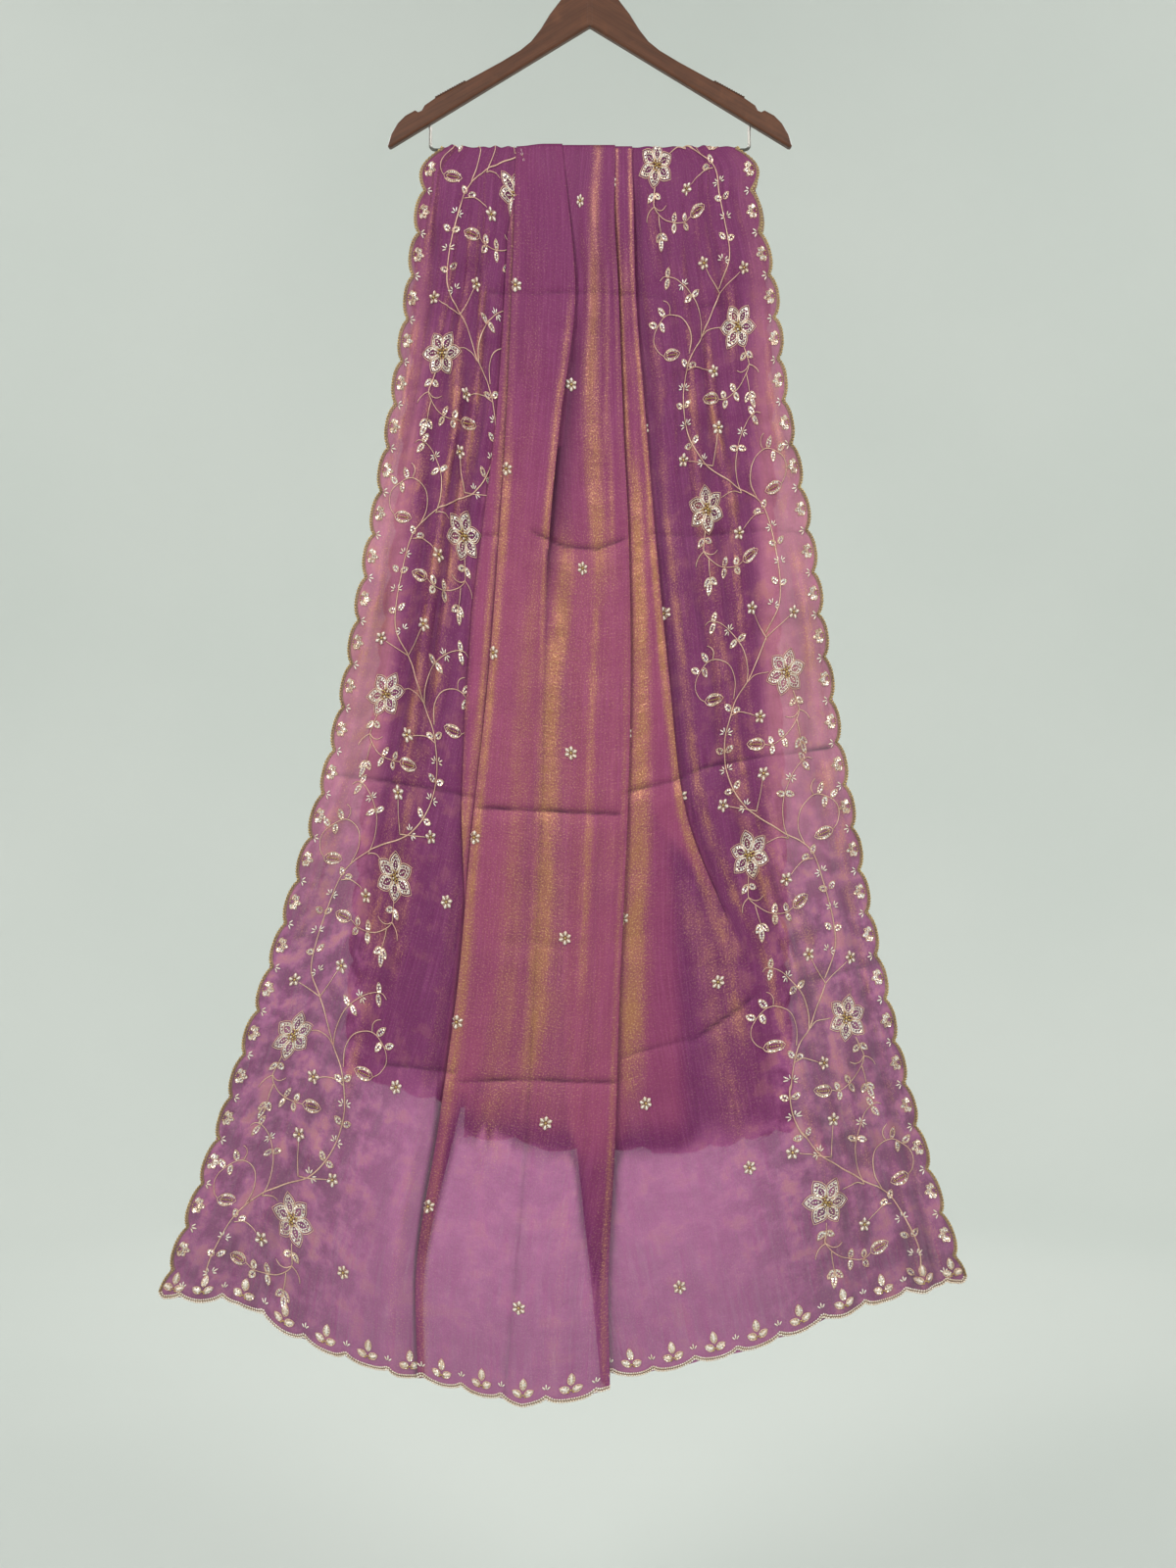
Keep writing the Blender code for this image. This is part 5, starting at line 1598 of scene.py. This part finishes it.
class StoleColourSettings(bpy.types.PropertyGroup):
    """Colours of the cloth, its threads and the hanger."""

    purple: colour_property("Purple", "Main colour of the tissue", (0.58, 0.26, 0.41))
    # Darker clouds of the tissue, and the colour of painted shade where layers stack, in crumples and near
    # the bar.
    purple_clouds_and_shade: colour_property("Deep purple", "Darker clouds of the tissue", (0.43, 0.14, 0.35))
    # Colour of the painted shade beside folds, along creases and in hollows.
    painted_fold_shade: colour_property("Fold shade", "Cloth beside a fold", (0.22, 0.06, 0.19))
    # Lighter purple of single cloth, painted as if lit through from behind, and of the slub threads.
    purple_slub_and_backlit: colour_property("Light purple", "Lighter threads of the tissue", (0.69, 0.375, 0.585))
    copper: colour_property("Copper", "Cross threads", (0.70, 0.48, 0.34))
    # Colour of the painted copper sheen on single cloth, also used for painted light patches.
    copper_light: colour_property("Light copper", "Copper on single cloth", (0.76, 0.51, 0.43))
    glint: colour_property("Glint", "Metal speckle", (0.93, 0.76, 0.60))
    cover: bpy.props.FloatProperty(
        name="Cover", description="How opaque the cloth is", default=0.91,
        min=0.3, max=1.0, subtype="FACTOR",
    )
    # The binding's two colours are a dull and a lit copy of one colour, mixed by noise: painted light and
    # shade.
    binding: colour_property("Binding", "Dull side of the edging", (0.47, 0.36, 0.31))
    binding_lit: colour_property("Binding light", "Lit side of the edging", (0.68, 0.56, 0.46))
    bronze: colour_property("Bronze", "Darker edge beads", (0.62, 0.52, 0.38))
    gold: colour_property("Gold", "Gold beads and cord", (0.84, 0.74, 0.50))
    # A shaded copy of the gold, mixed in by noise as painted shade.
    gold_shaded: colour_property("Deep gold", "Shaded side of gold beads", (0.66, 0.52, 0.28))
    champagne: colour_property("Champagne", "Pale gold thread and beads", (0.87, 0.77, 0.66))
    silver: colour_property("Silver", "Silvery sequins", (0.96, 0.95, 0.93))
    rose_gold: colour_property("Rose gold", "Cord of the vines", (0.78, 0.58, 0.53))
    wood: colour_property("Wood", "Stained wood", (0.36, 0.21, 0.13))
    wood_dark: colour_property("Dark wood", "Dark grain of the wood", (0.26, 0.145, 0.085))
    wood_light: colour_property("Worn wood", "Lighter worn patches", (0.43, 0.26, 0.165))
    steel: colour_property("Steel", "Bright wire", (0.52, 0.51, 0.49))
    steel_dull: colour_property("Dull steel", "Duller streaks of the wire", (0.38, 0.37, 0.36))
    wall: colour_property("Stage", "Floor and sweep", (0.850, 0.866, 0.852))
    wall_shade: colour_property("Stage shade", "Clouds of the stage", (0.835, 0.855, 0.840))


class StoleStageSettings(bpy.types.PropertyGroup):
    """Camera, lights and floor."""

    distance: length_property("Camera distance", "From the camera to the cloth", 2.3)
    frame_height: length_property("Frame height", "Height that the picture shows", 1.736)
    centre_x: length_property("Centre X", "Middle of the picture, sideways", -0.002)
    centre_z: length_property("Centre Z", "Middle of the picture, upwards", -0.947)
    floor_z: length_property("Floor", "Height of the floor", -2.25)
    reach: length_property("Sweep radius", "How far away the sweep stands", 6.0)
    bend: length_property("Sweep bend", "Radius of the bend between floor and sweep", 2.0)
    top: length_property("Sweep height", "How high the sweep stands", 9.0)
    light_power: bpy.props.FloatProperty(
        name="Light power", description="Power of each soft light", default=96.0, unit="POWER"
    )
    world_light: bpy.props.FloatProperty(
        name="Room light", description="Even light from all round", default=0.32, min=0.0
    )


class StoleSettings(bpy.types.PropertyGroup):
    """All settings of the stole."""

    cloth: bpy.props.PointerProperty(type=StoleClothSettings)
    colours: bpy.props.PointerProperty(type=StoleColourSettings)
    stage: bpy.props.PointerProperty(type=StoleStageSettings)


class STOLE_OT_stage(bpy.types.Operator):
    """Adds the floor, the sweep behind, the soft lights and the camera"""

    bl_idname = "stole.stage"
    bl_label = "Stage and camera"

    def execute(self, context):
        stole = context.scene.stole
        stage = stole.stage
        self.add_floor(stage, stole.colours)
        self.add_lights(context, stage)
        self.add_camera(context, stage)
        context.scene.view_settings.view_transform = "Standard"
        return {"FINISHED"}

    def add_floor(self, stage, colours):
        bend, start = stage.bend, stage.reach - stage.bend
        profile = [(radius, 0.0) for radius in np.linspace(0.0, start, 5)]
        for a in np.linspace(0, math.pi / 2, 13)[1:]:
            profile.append((start + bend * math.sin(a), bend - bend * math.cos(a)))
        profile.append((stage.reach, stage.top))
        angles = np.linspace(0, 2 * math.pi, 97)
        points = [
            (radius * math.cos(a), radius * math.sin(a), stage.floor_z + high)
            for a in angles for radius, high in profile
        ]
        faces = [face[::-1] for face in grid_faces(len(angles), len(profile))]
        floor = add_mesh("stage_floor", points, faces, wall_finish(colours))

    def add_lights(self, context, stage):
        # Each row: name, place, what it is aimed at, and its share of the light's power.
        places = (
            ("left", (-2.0, -3.3, 1.3), (0.0, 0.0, -1.1), 1.0),
            ("right", (2.0, -3.3, 1.3), (0.0, 0.0, -1.1), 0.85),
            ("sweep left", (-2.6, 1.6, 2.2), (-1.0, 6.0, 1.6), 0.38),
            ("sweep right", (2.6, 1.6, 2.2), (1.0, 6.0, 1.6), 0.38),
            ("back left", (-2.8, 3.2, 1.8), (0.0, 0.0, -1.0), 0.55),
            ("back right", (2.8, 3.2, 1.8), (0.0, 0.0, -1.0), 0.55),
        )
        for name, place, target, share in places:
            lamp = bpy.data.lights.new("soft light " + name, "AREA")
            lamp.shape = "DISK"
            lamp.size = 1.4
            lamp.energy = stage.light_power * share
            lamp.color = (1.0, 0.985, 0.96)
            thing = bpy.data.objects.new(lamp.name, lamp)
            thing.location = place
            aim = np.array(target) - np.array(place)
            thing.rotation_euler = (
                math.atan2(math.hypot(aim[0], aim[1]), -aim[2]), 0.0, math.atan2(aim[1], aim[0]) - math.pi / 2
            )
            context.scene.collection.objects.link(thing)
        world = bpy.data.worlds.new("Room")
        context.scene.world = world
        world.use_nodes = True
        sky = world.node_tree.nodes["Background"]
        sky.inputs["Color"].default_value = (0.93, 0.985, 0.97, 1.0)
        sky.inputs["Strength"].default_value = stage.world_light

    def add_camera(self, context, stage):
        lens = bpy.data.cameras.new("Camera")
        lens.sensor_fit = "VERTICAL"
        lens.sensor_height = 36.0
        lens.sensor_width = 27.0
        lens.lens = lens.sensor_height * stage.distance / stage.frame_height
        lens.clip_end = 50.0
        camera = bpy.data.objects.new("Camera", lens)
        camera.location = (stage.centre_x, -stage.distance, stage.centre_z)
        camera.rotation_euler = (math.pi / 2, 0.0, 0.0)
        context.scene.collection.objects.link(camera)
        context.scene.camera = camera


class STOLE_OT_cloth(SheetStep, bpy.types.Operator):
    """Hangs the tissue: one sheet from the front hem over the bar to the back hem"""

    bl_idname = "stole.cloth"
    bl_label = "Hanging cloth"

    def build(self, stole, sheet):
        points, flat, layers, shade, hollow = sheet.scalloped()
        rows, columns = layers.shape
        cloth = add_mesh(
            "stole_cloth", points.reshape(-1, 3), grid_faces(rows, columns), tissue_finish(stole.colours)
        )
        mesh = cloth.data
        normals = np.empty(len(mesh.vertices) * 3)
        mesh.vertices.foreach_get("normal", normals)
        slope = normals.reshape(rows, columns, 3)[..., 0]
        station = sheet.station_of(flat[..., 0], flat[..., 1])
        # Painted copper sheen from the cloth's slopes, crests and pleat rims, stored on its points.
        light = paint_copper_sheen(flat, slope, hollow, station)
        point_attribute(mesh, "flat_place", "FLOAT_VECTOR", np.dstack((flat, np.zeros((rows, columns)))))
        point_attribute(mesh, "copper_light", "FLOAT", light)
        point_attribute(mesh, "layer_count", "FLOAT", layers)
        point_attribute(mesh, "fold_shade", "FLOAT", shade)
        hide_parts("cloth_front", "cloth_back")
        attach(cloth, "root")


class STOLE_OT_edging(SheetStep, bpy.types.Operator):
    """Binds the scalloped edge and sews its beaded cords on"""

    bl_idname = "stole.edging"
    bl_label = "Scalloped edging"

    def build(self, stole, sheet):
        outline = whole_outline(sheet)
        outline = even_line(np.concatenate((outline, outline[:1])), 1.9)[:-1]
        edging = Stitching()
        self.add_binding(edging, outline)
        near_hem = self.near_hem(sheet, outline)
        outer, inner = inward(outline, 0.6), inward(outline, 3.4)
        self.add_beads(edging, outer[~near_hem], 3.1, 1.3, 1)
        self.add_beads(edging, outer[near_hem], 2.7, 1.4, 2)
        self.add_beads(edging, inner[near_hem], 2.5, 1.2, 2)
        edging.tube(inward(outline, 2.9), 0.55, 0.75, 0, closed=True)
        colours = stole.colours
        thing = edging.finish(
            "scalloped_edging", sheet,
            [
                # Painted light and shade: a dull and a lit copy of the binding colour, mixed by noise.
                thread_finish("edge binding", colours.binding, colours.binding_lit, 0.35, 0.5),
                thread_finish("edge beads", colours.bronze, colours.gold, 0.6, 0.3),
                thread_finish("hem beads", colours.champagne, colours.silver, 0.4, 0.25),
            ],
        )
        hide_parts(*(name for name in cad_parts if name.startswith("edging_")))

    def near_hem(self, sheet, outline):
        up = outline[:, 1]
        return (up < -1.0) | (up > sheet.length_mm(outline[:, 0]) + 1.0)

    def add_binding(self, edging, outline):
        """The binding that wraps the raw edge: its two faces and the fold round the outline."""
        shape = ((3.6, 0.02), (3.0, 0.42), (1.8, 0.55), (0.6, 0.42), (0.0, 0.0),
                 (0.6, -0.42), (1.8, -0.55), (3.0, -0.42), (3.6, -0.02))
        rows = []
        for distance, high in shape:
            line = inward(outline, distance)
            rows.append(np.column_stack((line, np.full(len(line), high))))
        grid = np.stack(rows)
        count = len(outline)
        index = np.arange(grid.shape[0] * count).reshape(grid.shape[0], count)
        beside = np.roll(index, -1, axis=1)
        faces = np.stack((index[:-1], index[1:], beside[1:], beside[:-1]), axis=-1).reshape(-1, 4)
        edging.add(grid.reshape(-1, 3), faces, 0)

    def add_beads(self, edging, line, pitch, radius, kind):
        """A row of small beads sewn side by side along a line, which may have gaps."""
        steps = np.linalg.norm(np.diff(line, axis=0), axis=1)
        breaks = np.flatnonzero(steps > 10.0)
        for part in np.split(line, breaks + 1):
            if len(part) < 3:
                continue
            for place in even_line(part, pitch):
                edging.bead(place, radius, kind, 0.75)


def stitch_materials(colours):
    """The five materials of the stitching, in the order of a motif's kinds."""
    return [
        thread_finish("outline thread", colours.rose_gold, colours.champagne, 0.4, 0.4),
        sequin_finish(colours),
        # Painted shade: a shaded copy of the gold, mixed by noise.
        thread_finish("gold beads", colours.gold_shaded, colours.gold, 0.7, 0.25),
        thread_finish("bright stitches", colours.champagne, colours.silver, 0.25, 0.3),
        thread_finish("silver cord", colours.champagne, colours.silver, 0.4, 0.3),
    ]


class STOLE_OT_vines(SheetStep, bpy.types.Operator):
    """Couches the rose gold cords of the border: the vines, branches, tendrils and hooks"""

    bl_idname = "stole.vines"
    bl_label = "Vines"

    def build(self, stole, sheet):
        work = Stitching()
        for side in (-1, 1):
            for count in range(8):
                line = smooth_line(main_vine(side, count))
                top = sheet.length_mm(line[:, 0]) - VINE_CLEAR
                line = line[(line[:, 1] > VINE_CLEAR) & (line[:, 1] < top)]
                if len(line) > 2:
                    work.tube(line, VINE_RADIUS, 0.7, 0, sides=5)
        for spot in border_spots(sheet):
            to_flower = spot.flat(VINE_TO_FLOWER)
            to_flower[-1] = spot.under(((6.0, 23.0),))[0]
            lines = [spot.flat(branch) for branch in BRANCHES]
            for points in (*lines, *(spot.under(stem) for stem in UNDER_STEMS), to_flower):
                if fits(sheet, points):
                    line = smooth_line(points)
                    thin = np.linspace(1.0, BRANCH_END, len(line))
                    work.tube(line, BRANCH_RADIUS * thin, 0.75, 0, sides=5)
        colours = stole.colours
        work.finish(
            "vine_cords", sheet,
            [thread_finish("vine cord", colours.rose_gold, colours.champagne, 0.4, 0.4)],
        )


class STOLE_OT_flowers(SheetStep, bpy.types.Operator):
    """Sews the border's big flowers and the small flowers on its branches"""

    bl_idname = "stole.flowers"
    bl_label = "Border flowers"

    def build(self, stole, sheet):
        big, small = Stitching(), Stitching()
        for number, spot in enumerate(border_spots(sheet)):
            sew_big_flower(big, spot.middle(), BIG_FLOWER, 0.1 + 0.37 * (number % 5))
            for place in spot.flat(BRANCH_FLOWERS):
                if fits(sheet, place[None], MOTIF_CLEAR):
                    sew_small_flower(small, place, SMALL_FLOWER, 5, 0.4 * (number % 4))
        materials = stitch_materials(stole.colours)
        big.finish("big_flowers", sheet, materials, (1,))
        small.finish("branch_flowers", sheet, materials, (1,))


class STOLE_OT_leaves(SheetStep, bpy.types.Operator):
    """Sews the border's sequin leaves, the tendrils' oval leaves and the sprigs"""

    bl_idname = "stole.leaves"
    bl_label = "Leaves and sprigs"

    def build(self, stole, sheet):
        work = Stitching()
        for spot in border_spots(sheet):
            leaves = [spot.flat(leaf) for leaf in (*LOOP_LEAVES, *BRANCH_LEAVES)]
            leaves += [spot.under(leaf) for leaf in UNDER_LEAVES]
            sprigs = [spot.flat(sprig) for sprig in BRANCH_SPRIGS]
            for pairs, made in ((VINE_LEAF_PAIRS, leaves), (VINE_SPRIG_PAIRS, sprigs)):
                for up in pairs:
                    made += self.pair_on_vine(spot, up, 1.6, 12.5 if made is leaves else 9.0)
            for leaf in leaves:
                if fits(sheet, leaf):
                    sew_leaf(work, *leaf)
            for sprig in sprigs:
                if fits(sheet, sprig):
                    sew_sprig(work, *sprig)
            for oval in (*(spot.flat(oval) for oval in OVAL_LEAVES), spot.under(UNDER_OVAL)):
                if fits(sheet, oval, MOTIF_CLEAR):
                    sew_oval_leaf(work, *oval)
        work.finish("leaves_and_sprigs", sheet, stitch_materials(stole.colours), (1,))

    def pair_on_vine(self, spot, up, gap, reach):
        """Two opposite leaves where the vine passes a height below the flower, leaning upwards."""
        vine = smooth_line(MAIN_VINE, 4.0)
        place = int(np.argmin(np.abs(vine[:, 0] - up)))
        way = vine[max(place - 1, 0)] - vine[min(place + 1, len(vine) - 1)]
        way = way / np.hypot(*way)
        beside = np.array((-way[1], way[0]))
        pairs = []
        for lane in (-1, 1):
            out = way * 0.45 + beside * lane * 0.89
            pairs.append(spot.flat((vine[place] + out * gap, vine[place] + out * reach)))
        return pairs


class STOLE_OT_field(SheetStep, bpy.types.Operator):
    """Scatters the small silver flowers over the middle of the cloth in staggered rows"""

    bl_idname = "stole.field"
    bl_label = "Field flowers"

    def build(self, stole, sheet):
        work = Stitching()
        for across, first in FIELD_COLUMNS:
            for row in range(14):
                place = np.array((across, first + FIELD_ROW * row))
                if fits(sheet, place[None], FIELD_CLEAR):
                    sew_small_flower(work, place, SMALL_FLOWER, 6, 0.52)
        work.finish("field_flowers", sheet, stitch_materials(stole.colours), (1,))


class STOLE_OT_edge_motifs(SheetStep, bpy.types.Operator):
    """Sews a cluster in each scallop and a sprig at each cusp, and the bright leaves of the hems"""

    bl_idname = "stole.edge_motifs"
    bl_label = "Scallop motifs"

    def build(self, stole, sheet):
        sides, hems = Stitching(), Stitching()
        for side in (-1, 1):
            self.sew_side(sides, sheet, side)
        for back in (False, True):
            self.sew_hem(hems, sheet, back)
        materials = stitch_materials(stole.colours)
        sides.finish("side_motifs", sheet, materials, (1,))
        hems.finish("hem_motifs", sheet, materials, (1,))

    def sew_side(self, work, sheet, side):
        """Clusters and sprigs along one side, lobe by lobe, from the front hem to the back hem."""
        edge = 0.0 if side < 0 else WIDTH_MM
        front, back = FRONT.drop(edge * MM) / MM, BACK.drop(edge * MM) / MM
        over = sheet.turn_length() / MM / 2
        for lobes, start, length, way in (
            (SIDE_SCALLOPS_FRONT, front + over, front + over, -1),
            (SIDE_SCALLOPS_BACK, front + over, back + over, 1),
        ):
            pitch = length / lobes
            for lobe in range(int(lobes)):
                self.cluster(work, edge, side, start + way * (lobe + 0.5) * pitch)
                if lobe:
                    place = (edge - side * 11.0, start + way * lobe * pitch)
                    sew_sprig(work, place, (edge - side * 20.0, place[1]), 6.4, 0.9)

    def cluster(self, work, edge, side, up):
        """A lotus of five small petals that opens inwards, with beads at its foot."""
        base = np.array((edge - side * 8.0, up))
        for lean, size in ((-76, 8.5), (-40, 10.5), (0, 12.5), (40, 10.5), (76, 8.5)):
            angle = math.radians(lean)
            way = np.array((-side * math.cos(angle), math.sin(angle)))
            sew_leaf(work, base + way * 2.2, base + way * size, 5.2, 0.45, 1.35)
        for ahead, above in ((-2.0, 2.6), (-2.4, 0.0), (-2.0, -2.6)):
            work.bead(base + (-side * ahead, above), 0.95, 2)

    def sew_hem(self, work, sheet, back):
        """Upright trefoils in the lobes of a hem and sprigs at its cusps."""
        pitch = WIDTH_MM / HEM_SCALLOPS
        way = -1.0 if back else 1.0

        def at(across, high):
            return np.array((across, (sheet.length_mm(across) if back else 0.0) + way * high))

        for lobe in range(HEM_SCALLOPS + 1):
            base = at(min(max(lobe * pitch, 15.0), WIDTH_MM - 15.0), 2.5)
            for beside, low, high in ((-11.5, 0.5, 5.5), (11.5, 0.5, 5.5), (0.0, 6.5, 19.5)):
                start, tip = base + (beside * 0.12, way * low), base + (beside, way * high)
                sew_leaf(work, start, tip, 7.4, 0.65, 1.4)
                stitch = [start + (tip - start) * share for share in (0.12, 0.35, 0.7, 0.92)]
                work.tube(stitch, np.array((0.5, 1.7, 1.6, 0.5)), 1.1, 3, sides=5)
            for beside in (-2.6, 0.0, 2.6):
                work.bead(base + (beside, way * (-0.5 if beside else 1.5)), 1.15, 2)
            if lobe < HEM_SCALLOPS:
                middle = (lobe + 0.5) * pitch
                sew_sprig(work, at(middle, 7.0), at(middle, 14.0), 5.4, 0.85)


class STOLE_OT_hanger(bpy.types.Operator):
    """Gives the hanger its stained wood, rubber and bright wire"""

    bl_idname = "stole.hanger"
    bl_label = "Hanger finishes"

    def execute(self, context):
        colours = context.scene.stole.colours
        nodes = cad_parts
        wood = wood_finish(colours)
        self.add_mitre_line(wood)
        for names, material in (
            (("arm_left", "arm_right"), wood),
            (("grip_left", "grip_right"), rubber_finish(colours)),
            (("hook", "bar"), steel_finish(colours)),
        ):
            for name in names:
                nodes[name].material_slots[0].material = material
        return {"FINISHED"}

    def add_mitre_line(self, wood):
        """The glued mitre between the arms, filled flush with their rounded edges."""
        inner = HANGER_THICK / 2 - EDGE_ROUND - MITRE_SUNK
        quarter = [
            (
                -MITRE_GAP / 2 * 0.9 - EDGE_ROUND * (1 - math.sin(angle)) * 0.96,
                inner + EDGE_ROUND * math.cos(angle),
            )
            for angle in np.radians(np.linspace(0, 90, 6))
        ]
        half = quarter + [(x, -y) for x, y in reversed(quarter)]
        ring = half + [(-x, y) for x, y in reversed(half)]
        levels = np.linspace(MITRE_TOP, MITRE_FOOT, 14)
        points = [(x, -y, z) for z in levels for x, y in ring]
        count = len(ring)
        corners = ((0, 0), (0, 1), (1, 1), (1, 0))
        faces = [
            tuple((i + down) * count + (j + beside) % count for down, beside in corners)
            for i in range(len(levels) - 1) for j in range(count)
        ]
        faces += [tuple(range(count))[::-1], tuple((len(levels) - 1) * count + j for j in range(count))]
        filler = add_mesh("mitre_line", points, faces, wood, smooth=False)
        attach(filler, "root")


class STOLE_OT_sheet(bpy.types.Operator):
    """Stands for the cut of the cloth, but does nothing"""

    bl_idname = "stole.sheet"
    bl_label = "Cut of the cloth"

    def execute(self, context):
        return {"FINISHED"}


class STOLE_PT_panel(bpy.types.Panel):
    """Lists the steps that build the stole, and its settings"""

    bl_idname = "STOLE_PT_panel"
    bl_label = "Embroidered stole"
    bl_space_type = "VIEW_3D"
    bl_region_type = "UI"
    bl_category = "Stole"

    def draw(self, context):
        layout = self.layout
        for operator in OPERATORS:
            layout.operator(operator.bl_idname)
        stole = context.scene.stole
        for group in (stole.cloth, stole.colours, stole.stage):
            box = layout.box()
            for name in group.__annotations__:
                box.prop(group, name)


OPERATORS = (
    STOLE_OT_stage, STOLE_OT_cloth, STOLE_OT_edging, STOLE_OT_vines, STOLE_OT_flowers, STOLE_OT_leaves,
    STOLE_OT_field, STOLE_OT_edge_motifs, STOLE_OT_sheet, STOLE_OT_hanger,
)
CLASSES = (
    StoleClothSettings, StoleColourSettings, StoleStageSettings, StoleSettings, *OPERATORS, STOLE_PT_panel,
)


def register():
    for each in CLASSES:
        bpy.utils.register_class(each)
    bpy.types.Scene.stole = bpy.props.PointerProperty(type=StoleSettings)


def unregister():
    del bpy.types.Scene.stole
    for each in reversed(CLASSES):
        bpy.utils.unregister_class(each)


def main():
    register()
    for operator in OPERATORS:
        getattr(bpy.ops.stole, operator.bl_idname.split(".")[1])()


if __name__ == "__main__":
    main()
